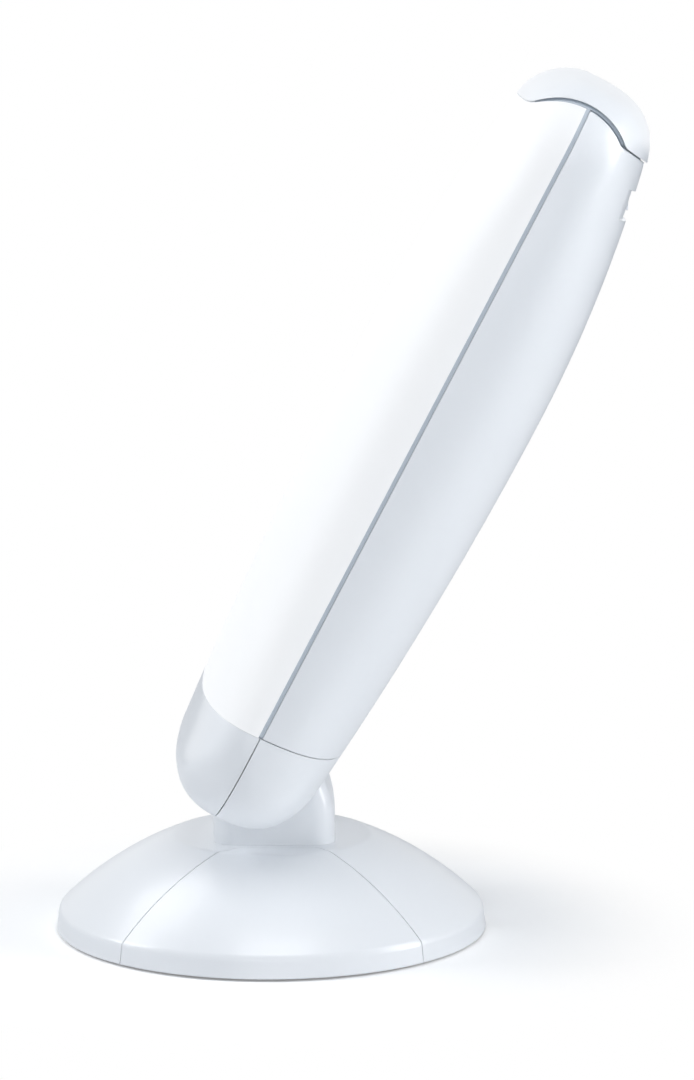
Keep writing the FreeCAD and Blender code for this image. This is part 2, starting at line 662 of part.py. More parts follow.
def make_foot_cover():
    """Cover with its neck, and the two side panels let into it."""
    shell = dome("cover_shell", "0", "cover_wall")
    ledge_shell = dome("ledge_shell", "cover_wall", "ledge_depth")
    panel_shell = dome("panel_shell", "0", less("cover_wall", "panel_fit"))
    opening = panel_area("panel_opening", "panel_seam / 2")
    inner_edge = panel_area("ledge_edge", "0 - ledge_width")
    panel_plan = panel_area("panel_plan", "0 - panel_seam / 2")
    ledge_reach = panel_area("ledge_reach", "ledge_width")
    edge = cut("ledge_ring", ledge_reach, inner_edge)
    floor = rod("ledge_floor", "base_radius", "plate_bottom + plate_thickness + seat_fit")
    ledge = overlap("ledge", ledge_shell, cut("ledge_plan", edge, floor))
    right = [opening, ledge]
    left = [mirror_x(item.Name + "_left", item) for item in right]
    open_shell = cut("open_shell", shell, right[0], left[0])
    neck = neck_form("neck_outer", "0", "collar_height - cover_wall")
    hollow = neck_form("neck_inner", "cover_wall", "rim_bottom")
    axle_hole = rod("neck_axle_hole", "axle_radius + axle_hole_gap", "neck_half_width * 3",
                    "neck_half_width * -1.5", "hinge_y", "hinge_height", "X")
    bosses = []
    bores = []
    for index in range(4):
        angle = "(%d + boss_angle * %d)" % (90 + 180 * (index // 2), 1 - 2 * (index % 2))
        place = ("boss_circle * cos%s" % angle, "boss_circle * sin%s" % angle)
        bosses.append(rod("cover_boss", "boss_radius", "collar_height", *place,
                          "plate_bottom + plate_thickness"))
        bores.append(rod("cover_bore", "cover_screw_radius + seat_fit", "cover_screw_length", *place,
                         "plate_bottom + plate_thickness"))
    inlet_hole = block("inlet_hole", "inlet_width + 2 * screw_fit", "cover_wall * 8",
                       "inlet_height + 2 * screw_fit", "0", "base_radius", "inlet_bottom - screw_fit")
    boss_field = overlap("boss_field", dome_solid("boss_limit", "cover_wall / 2"),
                         fuse("cover_bosses", *bosses))
    solid = fuse("cover_solid", open_shell, right[1], left[1], neck, boss_field)
    keep("foot_cover", cut("foot_cover_cut", solid, hollow, axle_hole, inlet_hole, *bores))
    panel = overlap("panel_right", panel_shell, panel_plan)
    keep("side_panel_right", panel)
    keep("side_panel_left", mirror_x("panel_left", panel))


def dome_solid(name, inset):
    """Everything under the foot's surface, as one solid of revolution."""
    body = sketched_body(name)
    corners = [
        ("0", "0"),
        (less("base_radius", inset), "0"),
        dome_edge(inset) + (less("dome_radius", inset),),
        dome_top(inset),
        ("0", less("collar_height", inset)),
    ]
    spin(body, outline(body, name + "_profile", "XZ_Plane", corners))
    return body


def around(count, circle, start=90):
    """The places of count equal pieces round a circle, as expressions."""
    for index in range(count):
        angle = start + 360.0 * index / count
        yield "%s * cos(%r)" % (circle, angle), "%s * sin(%r)" % (circle, angle)


def bolt_places():
    for x_side in (-1, 1):
        for y_side in (-1, 1):
            yield "bolt_x * %d" % x_side, "bolt_y * %d + hinge_y" % y_side


def make_base():
    """Base plate, rubber feet, ballast weight and their screws."""
    top = "plate_bottom + plate_thickness"
    count = int(value("foot_count"))
    places = list(around(count, "foot_circle")) + [("0", "0")]
    seats = [rod("foot_seat", "foot_radius + seat_fit", "plate_bottom + foot_recess", x, y)
             for x, y in places]
    feet = [rod("foot", "foot_radius", "plate_bottom + foot_recess", x, y) for x, y in places]
    bolt_holes = [rod("plate_bolt_hole", "bolt_radius + screw_fit", "plate_thickness * 3", x, y,
                      "plate_bottom - plate_thickness") for x, y in bolt_places()]
    screw_holes = []
    screws = []
    for index in range(4):
        angle = "(%d + boss_angle * %d)" % (90 + 180 * (index // 2), 1 - 2 * (index % 2))
        place = ("boss_circle * cos%s" % angle, "boss_circle * sin%s" % angle)
        screw_holes.append(rod("plate_screw_hole", "cover_screw_radius + screw_fit",
                               "plate_thickness * 3", *place, "plate_bottom - plate_thickness"))
        shank = rod("cover_shank", "cover_screw_radius", "plate_thickness + cover_screw_length - 1",
                    *place, "plate_bottom")
        under = "plate_bottom - screw_head_height"
        head = rod("cover_head", "cover_screw_radius * 2", "screw_head_height", *place, under)
        cross = "cover_screw_radius * 2.4"
        screws.append(cut("cover_screw", fuse("cover_screw_blank", shank, head),
                          block("cross_bar", cross, "cross_width", "cross_depth", *place, under),
                          block("cross_bar", "cross_width", cross, "cross_depth", *place, under)))
    disc = rod("plate_disc", "plate_radius", "plate_thickness", z="plate_bottom")
    keep("base_plate", cut("plate", disc, *seats, *bolt_holes, *screw_holes))
    keep("rubber_feet", group("feet", *feet))
    keep("cover_screws", group("screws", *screws))
    weight_holes = [rod("weight_hole", "bolt_radius + screw_fit", "weight_thickness * 3", x, y,
                        "0 - weight_thickness") for x, y in bolt_places()]
    weight = rod("weight_disc", "weight_radius", "weight_thickness", z=top)
    keep("ballast_weight", cut("weight", weight, *weight_holes))


def make_post():
    """Steel post with its barrel, and the bolts that hold it to the weight."""
    floor = "(plate_bottom + plate_thickness + weight_thickness)"
    plate_top = total(floor, "post_foot_thickness")
    height = less("hinge_height", floor)
    foot = block("post_foot", "post_foot_width", "post_foot_length", "post_foot_thickness",
                 "0", "hinge_y", floor)
    column = block("post_column", "post_width", "post_depth", height, "0", "hinge_y", floor)
    barrel = rod("post_barrel", "barrel_radius", "2 * barrel_half_length", "0 - barrel_half_length",
                 "hinge_y", "hinge_height", "X")
    inside = block("post_inside", "post_width - 2 * post_wall", "post_depth - 2 * post_wall",
                   less(height, "barrel_radius + post_wall"), "0", "hinge_y", floor)
    bore = rod("post_bore", "axle_radius + bush_wall + seat_fit", "4 * barrel_half_length",
               "-2 * barrel_half_length", "hinge_y", "hinge_height", "X")
    holes = [rod("post_hole", "bolt_radius + screw_fit", "3 * post_foot_thickness", x, y,
                 less(floor, "post_foot_thickness")) for x, y in bolt_places()]
    keep("hinge_post", cut("post", fuse("post_solid", foot, column, barrel), inside, bore, *holes))
    bolt_length = total(plate_top, "post_nut_height - plate_bottom + 1")
    under = "plate_bottom - screw_head_height"
    bolts = []
    nuts = []
    for x, y in bolt_places():
        bolts.append(cut("bolt", fuse("bolt_blank",
                                      rod("bolt_shank", "bolt_radius", bolt_length, x, y, "plate_bottom"),
                                      rod("bolt_head", "bolt_head_radius", "screw_head_height", x, y,
                                          under)),
                         hexagon("bolt_socket", "bolt_radius * 0.9", "cross_depth", x, y, under)))
        nuts.append(cut("post_nut", hexagon("post_nut_blank", "bolt_radius * 1.8", "post_nut_height",
                                            x, y, plate_top),
                        rod("post_nut_bore", "bolt_radius + seat_fit", "post_nut_height", x, y,
                            plate_top)))
    keep("post_bolts", group("bolts", *bolts))
    keep("post_nuts", group("nuts", *nuts))
    bushes = []
    for side in (-1, 1):
        inner = "barrel_half_length * %d" % side
        sleeve_start = inner if side < 0 else less(inner, "bush_length")
        flange_start = less(inner, "bush_flange") if side < 0 else inner
        bushes.append(cut("bush", fuse(
            "bush_solid",
            rod("bush_sleeve", "axle_radius + bush_wall", "bush_length", sleeve_start, "hinge_y",
                "hinge_height", "X"),
            rod("bush_collar", "barrel_radius - seat_fit", "bush_flange", flange_start, "hinge_y",
                "hinge_height", "X")),
            rod("bush_bore", "axle_radius + running_fit", "4 * barrel_half_length",
                "-2 * barrel_half_length", "hinge_y", "hinge_height", "X")))
    keep("axle_bushes", group("bushes", *bushes))


def hexagon(name, radius, height, x, y, z, along="Z"):
    """A hexagonal blank whose corners lie on a radius."""
    item = doc.addObject("Part::Prism", name)
    item.Polygon = 6
    item.setExpression("Circumradius", bound(radius))
    item.setExpression("Height", bound(height))
    item.Placement = Placement(Vector(), AIM[along])
    move(item, x, y, z)
    return item


def make_inlet():
    """Two-pin power inlet in the back of the rim, its board and the lead up the neck."""
    back = less("inlet_face", "inlet_depth")
    body = block("inlet_body", "inlet_width", "inlet_depth", "inlet_height", "0",
                 less("inlet_face", "inlet_depth / 2"), "inlet_bottom")
    socket = block("inlet_socket", "inlet_width - 2 * inlet_wall", "2 * inlet_socket_depth",
                   "inlet_height - 2 * inlet_wall", "0", "inlet_face", "inlet_bottom + inlet_wall")
    places = [("inlet_pin_spacing / 2 * %d" % side, less("inlet_face", "inlet_depth"),
               "inlet_bottom + inlet_height / 2") for side in (-1, 1)]
    holes = [rod("inlet_pin_hole", "inlet_pin_radius + seat_fit", "inlet_depth", *place, "Y")
             for place in places]
    keep("power_inlet", cut("inlet", body, socket, *holes))
    pins = [rod("inlet_pin", "inlet_pin_radius", "inlet_depth - 2", *place, "Y") for place in places]
    keep("inlet_pins", group("pins", *pins))
    board = block("inlet_board_sheet", "inlet_width", "1.6", "inlet_board_height", "0",
                  less(back, "0.8 + seat_fit"), "inlet_bottom")
    keep("inlet_board", group("inlet_board_group", board))
    keep("supply_lead", lead_tube(less(back, "1.6 + 2 * seat_fit")))


def lead_tube(start_y):
    """The internal lead: level from the inlet, one bend, then up behind the post."""
    level, back, top = value("lead_height"), value("lead_back"), value("lead_top")
    bend, radius, start = value("lead_bend"), value("lead_radius"), value(start_y)
    middle = Vector(0, back + bend * (1 - math.sqrt(0.5)), level + bend * (1 - math.sqrt(0.5)))
    path = Part.Wire([
        Part.LineSegment(Vector(0, start, level), Vector(0, back + bend, level)).toShape(),
        Part.Arc(Vector(0, back + bend, level), middle, Vector(0, back, level + bend)).toShape(),
        Part.LineSegment(Vector(0, back, level + bend), Vector(0, back, top)).toShape()])
    section = Part.Wire(Part.makeCircle(radius, Vector(0, start, level), Vector(0, 1, 0)))
    item = doc.addObject("Part::Feature", "lead")
    item.Shape = path.makePipeShell([section], True, True)
    length = start - back - bend + bend * math.pi / 2 + top - level - bend
    print("supply lead: length %.1f, volume %.1f against %.1f"
          % (length, item.Shape.Volume, length * math.pi * radius ** 2))
    return item


# --- Head form -------------------------------------------------------------------------------

def round_in(distance, reach, exponent):
    """How full a section is at a distance from an end that rounds in over reach."""
    share = min(max(distance / reach, 0.0), 1.0)
    return (1 - (1 - share) ** exponent) ** (1 / exponent)


def corner_drop(place, half, radius):
    """How far a rounded corner has fallen at a place across a flat end."""
    past = abs(place) - (half - radius)
    return radius - math.sqrt(max(radius ** 2 - past ** 2, 0.0)) if past > 0 else 0.0


class HeadForm:
    """The head's outer surface, moved inwards by its insets."""

    def __init__(self, inset, rear_inset):
        size = {name: value(name) for name in list(SIZES) + list(PLACES)}
        self.size = size
        self.inset, self.rear_inset = inset, rear_inset
        self.half_width = size["head_half_width"] - inset
        self.top = size["head_top"] - inset
        self.bottom = -size["head_bottom"] + inset
        self.low_corner = max(size["low_corner"] - inset, 1)
        self.high_corner = max(size["high_corner"] - inset, 1)

    def barrel(self, height, belly, low, high):
        """Depth of the belly curve at a height: two parabolas that meet at the thickest section."""
        size = self.size
        station = size["low_station"] if height < size["belly_height"] else size["high_station"]
        depth = low if height < size["belly_height"] else high
        share = (height - size["belly_height"]) / (station - size["belly_height"])
        return belly - (belly - depth) * share ** 2

    def floor(self, across):
        return self.bottom + corner_drop(across, self.half_width, self.low_corner)

    def ceiling(self, across):
        fall = self.size["crown"] * (across / self.size["head_half_width"]) ** 2
        return self.top - fall - corner_drop(across, self.half_width, self.high_corner)

    def depth(self, across, height, rear):
        """Depth of the surface in front of or behind the seam, at a place across and a height."""
        size = self.size
        key = "rear" if rear else "front"
        inset = self.rear_inset if rear else self.inset
        belly = self.barrel(height, size[key + "_belly"], size[key + "_low"], size[key + "_high"])
        share = min(abs(across) / self.half_width, 1.0)
        section = (1 - share ** size["squareness"]) ** (1 / size["squareness"])
        low = round_in(height - self.floor(across), size[key + "_low_rounding"],
                       size[key + "_low_squareness"])
        high = round_in(self.ceiling(across) - height, size[key + "_high_rounding"],
                        size[key + "_high_squareness"])
        return (belly - inset) * section * low * high

    def reach(self, height):
        """Half width of the section at a height."""
        inside, outside = 0.0, self.half_width
        if self.floor(outside) <= height <= self.ceiling(outside):
            return outside
        for _ in range(50):
            middle = (inside + outside) / 2
            if self.floor(middle) < height < self.ceiling(middle):
                inside = middle
            else:
                outside = middle
        return inside

    def shares(self):
        """Places across the section, evenly spaced round its outline, from -1 to 1."""
        exponent = self.size["squareness"]
        ratio = self.size["rear_belly"] / self.half_width
        fine = [-math.cos(math.pi * step / 2000) for step in range(2001)]
        heights = [ratio * max(1 - abs(share) ** exponent, 0.0) ** (1 / exponent) for share in fine]
        lengths = [0.0]
        for step in range(2000):
            lengths.append(lengths[-1] + math.hypot(fine[step + 1] - fine[step],
                                                    heights[step + 1] - heights[step]))
        places = []
        step = 0
        for index in range(POINT_COUNT // 2):
            while lengths[step] < lengths[-1] * index / POINT_COUNT:
                step += 1
            places.append(fine[step])
        return places + [0.0] + [-place for place in places[::-1]]

    def curve(self, height, shares, rear, start=0.0):
        """The front or rear curve of the section at a height, from a start depth and back to it."""
        reach = self.reach(height)
        knots = [index / POINT_COUNT for index in range(len(shares))]
        points = []
        for share in (shares[::-1] if rear else shares):
            depth = start if abs(share) == 1.0 else self.depth(share * reach, height, rear)
            points.append(Vector(share * reach, depth if rear else -depth, height))
        way = Vector(0, 1 if rear else -1, 0)
        first = way * (points[0].distanceToPoint(points[1]) * POINT_COUNT)
        last = way * (points[-1].distanceToPoint(points[-2]) * -POINT_COUNT)
        curve = Part.BSplineCurve()
        curve.interpolate(Points=points, Parameters=knots, InitialTangent=first, FinalTangent=last,
                          Scale=False)
        return curve

    def heights(self, low=None, high=None):
        """Heights of the sections: close together at the rounded ends, and none past a limit."""
        first = 0.15
        near = [self.size["end_span"] * (1 - math.cos(math.pi / 2 * step / END_SECTION_COUNT))
                for step in range(1, END_SECTION_COUNT + 1)]
        rising = [self.bottom + first] + [self.bottom + rise for rise in near]
        falling = [self.top - rise for rise in near[::-1]] + [self.top - first]
        length = falling[0] - rising[-1]
        middle = [rising[-1] + length * step / MIDDLE_SECTION_COUNT for step in range(1, MIDDLE_SECTION_COUNT)]
        stations = rising + middle + falling
        if low is not None:
            stations = [low] + [height for height in stations if height > low + 1]
        if high is not None:
            stations = [height for height in stations if height < high - 1] + [high]
        return stations


def spread(*families):
    """Parameters along the height: the mean way from section to section, from 0 to 1."""
    lengths = [0.0]
    for index in range(len(families[0]) - 1):
        ways = [first.distanceToPoint(second) for family in families
                for first, second in zip(family[index].getPoles(), family[index + 1].getPoles())]
        lengths.append(lengths[-1] + sum(ways) / len(ways))
    return [length / lengths[-1] for length in lengths]


def skin(curves, parameters):
    """The smooth face that runs through a family of section curves."""
    columns = []
    for points in zip(*[curve.getPoles() for curve in curves]):
        column = Part.BSplineCurve()
        column.interpolate(Points=list(points), Parameters=parameters)
        columns.append(column)
    surface = Part.BSplineSurface()
    surface.buildFromPolesMultsKnots(
        [column.getPoles() for column in columns],
        curves[0].getMultiplicities(), columns[0].getMultiplicities(),
        curves[0].getKnots(), columns[0].getKnots(), False, False,
        curves[0].Degree, columns[0].Degree)
    return surface


def side_edge(surface, end):
    """A skin's edge along the height, at the start or the end of its section curves."""
    low, high = surface.bounds()[:2]
    return surface.uIso(high if end else low).toShape()


def flat_face(*edges):
    return Part.Face(Part.Wire(Part.__sortEdges__(list(edges))))


def line(first, second):
    return Part.LineSegment(first, second).toShape()


def closed(name, faces):
    """A solid object from the faces that enclose it."""
    shell = Part.makeShell(faces)
    shell.sewShape()
    solid = Part.makeSolid(shell)
    if solid.Volume < 0:
        solid.reverse()
    item = doc.addObject("Part::Feature", name)
    item.Shape = solid
    return item


def head_form(name, inset, rear_inset=None):
    """The head's surface moved inwards by inset, as a solid."""
    form = HeadForm(inset, inset if rear_inset is None else rear_inset)
    shares, heights = form.shares(), form.heights()
    front = [form.curve(height, shares, False) for height in heights]
    rear = [form.curve(height, shares, True) for height in heights]
    parameters = spread(front, rear)
    faces = [skin(family, parameters).toShape() for family in (front, rear)]
    faces += [flat_face(front[end].toShape(), rear[end].toShape()) for end in (0, -1)]
    return closed(name, faces)


def half_form(name, inset, rear, plane, high):
    """The lower end of the head's surface, closed by a plane near the seam and by one on top."""
    form = HeadForm(inset, inset)
    shares = form.shares()
    curves = [form.curve(height, shares, rear, plane) for height in form.heights(None, high)]
    face = skin(curves, spread(curves))
    ends = [line(curves[end].value(0), curves[end].value(1)) for end in (0, -1)]
    faces = [face.toShape(), flat_face(side_edge(face, False), side_edge(face, True), *ends)]
    faces += [flat_face(curves[end].toShape(), ends[end]) for end in (0, -1)]
    return closed(name, faces)


def shell_form(name, rear):
    """The wall in front of or behind the seam, from under the lower caps' edge to the arch's crown."""
    wall, plane = value("shell_wall"), value("seam_gap") / 2
    outer, inner = HeadForm(0, 0), HeadForm(wall, wall)
    shares = outer.shares()
    heights = outer.heights(value("cap_cut - 4 * frame_band"), value("arch_crown"))
    skins = [outer.curve(height, shares, rear, plane) for height in heights]
    linings = [inner.curve(height, shares, rear, plane) for height in heights]
    parameters = spread(skins, linings)
    surfaces = [skin(skins, parameters), skin(linings, parameters)]
    faces = [surface.toShape() for surface in surfaces]
    joins = [[line(skins[end].value(side), linings[end].value(side)) for side in (0, 1)]
             for end in (0, -1)]
    for side in (0, 1):
        faces.append(flat_face(side_edge(surfaces[0], side), side_edge(surfaces[1], side),
                               joins[0][side], joins[1][side]))
    for end in (0, -1):
        faces.append(flat_face(skins[end].toShape(), linings[end].toShape(), *joins[end]))
    return closed(name, faces)


def cap_cut(side, gap):
    """Height of the edge between the shells and the lower caps at a place along Y."""
    return "(cap_cut + (%s) * tan(cap_cut_tilt) + (%s))" % (side, gap)


def arch_edge(crown_gap, foot_gap, front_radius, rear_radius):
    """Rear foot, crown and front foot of an arched edge that lies below the top cap's."""
    crown = less("arch_crown", crown_gap)
    feet = []
    for side, radius, rise in ((1, rear_radius, "arch_rear_rise"),
                               (-1, front_radius, "arch_front_rise")):
        height = "(arch_crown - %s - (%s))" % (rise, foot_gap)
        reach = "sqrt((%s)^2 - (%s - %s + (%s))^2)" % (radius, height, crown, radius)
        feet.append(("(%d * %s)" % (side, reach), height))
    return feet[0], ("0", crown), feet[1]


FAR = "(rear_belly * 2)"
WIDE = "(head_half_width * 4)"


def through(name, corners):
    """A prism that stands across the whole head."""
    return prism(name, "YZ_Plane", corners, WIDE, "0 - %s / 2" % WIDE)


def rear_tip(foot):
    """Where the edge that falls from a rear foot of the arch leaves the head."""
    return FAR, less(foot[1], "(%s - %s) * tan(arch_foot_slope)" % (FAR, foot[0]))


def shell_zone(name, rise="0"):
    """Where the diffuser and the rear housing run: from the lower caps to the arch.

    Its upper edge is moved up by rise.
    """
    rear_foot, crown, front_foot = arch_edge(
        less("arch_gap", rise), less("hairline", rise),
        total("shell_front_radius", rise), total("shell_rear_radius", rise))
    far = "(0 - %s)" % FAR
    front_gap = "front_gap - hairline / 2"
    zone = through(name, [
        (far, cap_cut(far, front_gap)),
        ("0", cap_cut("0", front_gap)),
        ("0", cap_cut("0", "hairline / 2")),
        (FAR, cap_cut(FAR, "hairline / 2")),
        rear_tip(rear_foot),
        rear_foot + (total("shell_rear_radius", rise),),
        crown + (total("shell_front_radius", rise),),
        front_foot,
        (far, front_foot[1]),
    ])
    doc.recompute()
    round_edges(zone, zone.Tip, "arch_foot_rounding + hairline", edges_at([rear_foot, front_foot]))
    return zone


def top_zone(name, drop="0"):
    """Where the top cap runs: above the arch. Its lower edge is moved down by drop."""
    front_radius, rear_radius = less("arch_front_radius", drop), less("arch_rear_radius", drop)
    rear_foot, crown, front_foot = arch_edge(drop, drop, front_radius, rear_radius)
    far = "(0 - %s)" % FAR
    zone = through(name, [
        (far, front_foot[1]),
        front_foot + (front_radius, True),
        crown + (rear_radius, True),
        rear_foot,
        rear_tip(rear_foot),
        (FAR, "head_top * 1.2"),
        (far, "head_top * 1.2"),
    ])
    doc.recompute()
    round_edges(zone, zone.Tip, "arch_foot_rounding", edges_at([rear_foot, front_foot]))
    return zone


def slot_form(name, grow, width):
    """The space for the neck, through all the head's tilt, drawn out by grow."""
    back = "(head_lean + tilt_back)"
    crown = turned("neck_crown_half", "neck_crown_rise", back)
    shoulder = turned("neck_rear_top - hinge_y", "neck_rear_shoulder - hinge_height", back)
    front = "(neck_front - hinge_y - slot_clearance - (%s))" % grow
    roof = total(crown[1], "cheek_gap", grow)
    ramp = total(shoulder[1], "2 * slot_clearance", grow)
    low = "(0 - head_bottom - 20)"
    corners = [
        (front, low),
        (FAR, low),
        (FAR, ramp),
        (total(shoulder[0], "3 * slot_clearance"), ramp),
        (total(crown[0], "slot_clearance", "(%s) / 2" % grow), roof),
        ("(0 - neck_crown_half - 2 * slot_clearance - (%s) / 2)" % grow, roof),
        (front, total("neck_front_shoulder - hinge_height", "slot_clearance")),
    ]
    return prism(name, "YZ_Plane", corners, "2 * (%s)" % width, "0 - (%s)" % width)


def cap_zone(name):
    """Where the outer walls of the lower caps run."""
    far = "(0 - %s)" % FAR
    low = "(0 - head_bottom - 20)"
    return through(name, [(far, low), (FAR, low), (FAR, cap_cut(FAR, "0 - hairline / 2")),
                          (far, cap_cut(far, "0 - hairline / 2"))])


def head_shells():
    """Diffuser, rear housing, top cap, lower caps and the frame that they close on."""
    wall = value("shell_wall")
    fit = wall + value("frame_fit")
    frame_outer = head_form("frame_outer", fit)
    frame_inner = head_form("frame_inner", fit + value("frame_wall"))
    keep("diffuser", overlap("diffuser_wall", shell_form("diffuser_form", False),
                             shell_zone("diffuser_zone")), HEAD)
    make_housing(frame_outer, frame_inner)
    cap_form = head_form("cap_form", -value("cap_overhang_side"), -value("cap_overhang_rear"))
    make_top_cap(cap_form, head_form("head_inner", wall))
    make_lower_cap("bottom_cap_front", False)
    make_lower_cap("bottom_cap_rear", True)
    make_frame(frame_outer, frame_inner)


def make_top_cap(cap_form, inner):
    """Crescent-shaped cap over the top of the head."""
    blank = overlap("top_cap_blank", cap_form, top_zone("top_cap_zone"))
    keep("top_cap", cut("top_cap_wall", blank, inner), HEAD)


def make_lower_cap(label, rear):
    """A lower cap with its half of the cheeks and of the roof of the neck's slot."""
    seam, high = value("hairline") / 2, value("cap_cut + 6 * frame_band")
    outer = half_form(label + "_outer", 0, rear, seam, high)
    inner = half_form(label + "_inner", value("shell_wall"), rear, seam, high)
    wall = cut(label + "_wall", overlap(label + "_blank", outer, cap_zone(label + "_zone")), inner)
    width = "neck_half_width + cheek_gap"
    cheeks = overlap(label + "_cheeks", inner,
                     slot_form(label + "_lining", "cheek_wall", width + " + cheek_wall"))
    slot = slot_form(label + "_slot", "0", width)
    reach = total(width, "2 * cheek_wall")
    hole = rod(label + "_axle_hole", "axle_radius + seat_fit", "2 * " + reach, "0 - " + reach, "0",
               "0", "X")
    keep(label, cut(label + "_cut", fuse(label + "_solid", wall, cheeks), slot, hole), HEAD)


def frame_tongues(frame_inner):
    """What fills the seams: a rib between the shells, and one below the top cap's arch."""
    form = head_form("tongue_form", value("tongue_drop"))
    half = less("seam_gap / 2", "tongue_fit")
    seam = span("seam_zone", ("0 - " + WIDE, "0 - " + half, cap_cut("0", "hairline")),
                (WIDE, half, "arch_crown - arch_gap"))
    below = "arch_crown - arch_front_rise - hairline"
    rear = overlap("arch_shadow", shell_zone("arch_shadow_zone", "shadow_gap"),
                   span("arch_rear", ("0 - " + WIDE, half, below), (WIDE, FAR, "arch_crown")))
    arch = cut("arch_zone", span("arch_span", ("0 - " + WIDE, "0 - tongue_half", below),
                                 (WIDE, "tongue_half", "arch_crown")),
               top_zone("arch_top_zone", "tongue_fit"), shell_zone("arch_shell_zone", "tongue_fit"),
               rear)
    return [cut("tongue", overlap("tongue_blank", form, zone), frame_inner) for zone in (seam, arch)]


def make_frame(frame_outer, frame_inner):
    """Frame behind the seams: a top band, a lower band and two side rails between them."""
    top = span("top_band_zone", ("0 - " + WIDE, "0 - " + FAR, "top_band_bottom"),
               (WIDE, FAR, "arch_crown + frame_rail"))
    far = "(0 - %s)" % FAR
    low = through("low_band_zone", [
        (far, cap_cut(far, "0 - frame_band")), (FAR, cap_cut(FAR, "0 - frame_band")),
        (FAR, cap_cut(FAR, "frame_band")), (far, cap_cut(far, "frame_band"))])
    slot = slot_form("frame_slot", "cheek_wall + frame_fit",
                     "neck_half_width + cheek_gap + cheek_wall + frame_fit")
    outside = "(head_half_width - shell_wall - frame_fit - rail_inset)"
    rails = []
    for side in (-1, 1):
        rails.append(block("side_rail", "frame_wall", "2 * frame_rail",
                           "top_band_bottom - cap_cut - frame_band + 2",
                           "(%s - frame_wall / 2) * %d" % (outside, side), "0",
                           "cap_cut + frame_band - 1"))
    bands = []
    for name, zone in (("top_band", top), ("low_band", low)):
        bands.append(cut(name, overlap(name + "_blank", frame_outer, zone), frame_inner))
    solid = fuse("mid_frame_solid", *bands, *rails, *frame_tongues(frame_inner))
    keep("mid_frame", cut("mid_frame_cut", solid, slot), HEAD)


def housing_screw_places():
    for x_side in (-1, 1):
        for height in ("housing_screw_low", "housing_screw_high"):
            yield "housing_screw_x * %d" % x_side, height


def vent_slots():
    """Cooling slots with round ends, in two fields."""
    for first in ("vent_low", "vent_high"):
        for index in range(int(value("vent_count"))):
            middle = "%s + vent_pitch * %d + vent_height / 2" % (first, index)
            straight = "vent_width - vent_height"
            yield block("vent", straight, FAR, "vent_height", "0", "chassis_y + %s / 2" % FAR,
                        less(middle, "vent_height / 2"))
            for side in (-1, 1):
                yield rod("vent_end", "vent_height / 2", FAR, "(%s) / 2 * %d" % (straight, side),
                          "chassis_y", middle, "Y")


def recess(name, grow):
    """The band across the top of the rear that the switch is set in."""
    bottom = "(switch_height - recess_height / 2)"
    return span(name, ("0 - recess_half_width - (%s)" % grow, "chassis_y", less(bottom, grow)),
                (total("recess_half_width", grow), FAR, total(bottom, "recess_height", grow)))


def make_housing(frame_outer, frame_inner):
    """Rear housing with its cooling slots, screw bosses and switch recess."""
    chassis_back = "chassis_y + chassis_sheet + seat_fit"
    skin = overlap("housing_skin", shell_form("housing_form", True), shell_zone("housing_zone"))
    pocket = cut("recess_pocket", recess("recess_zone", "0"), frame_outer)
    middle = head_form("housing_middle", value("shell_wall") / 2)
    floor = cut("recess_floor", overlap("recess_floor_blank", middle,
                                        recess("recess_walls", "shell_wall")), frame_inner)
    bosses = overlap("housing_boss_field", middle, fuse("housing_bosses", *[
        rod("housing_boss", "housing_boss_radius", FAR, x, chassis_back, height, "Y")
        for x, height in housing_screw_places()]))
    tools = list(vent_slots())
    for x, height in housing_screw_places():
        seat = total("chassis_y + chassis_sheet", "housing_boss_floor")
        tools.append(rod("housing_counterbore", "housing_head_radius + screw_fit", FAR, x, seat,
                         height, "Y"))
        tools.append(rod("housing_screw_hole", "housing_screw_radius + screw_fit", FAR, x,
                         "chassis_y", height, "Y"))
    hole = block("switch_hole", "switch_width - 2 * switch_rim + 2 * seat_fit",
                 "switch_bezel_height - 2 * switch_rim + 2 * seat_fit", "switch_depth * 2", "0", "0",
                 "0 - switch_depth")
    seated = group("switch_hole_seat", hole)
    seated.setExpression("Placement", bound(SWITCH))
    solid = fuse("housing_solid", skin, floor, bosses)
    keep("rear_housing", cut("rear_housing_cut", cut("housing_open", solid, pocket), seated, *tools),
         HEAD)


def switch_seat():
    """Placement of the switch in the head's frame: on the recess floor, facing straight out."""
    inset = value("shell_wall") + value("frame_fit")
    form = HeadForm(inset, inset)
    height = value("switch_height")
    depth = form.depth(0, height, True)
    slope = (form.depth(0, height + 1, True) - form.depth(0, height - 1, True)) / 2
    tilt = math.degrees(math.atan(-slope))
    print("switch floor at y %.3f, tilted %.3f degrees" % (depth, tilt))
    return ("placement(vector(0; %r; switch_height); rotation(vector(1; 0; 0); %r))"
            % (depth, tilt - 90))


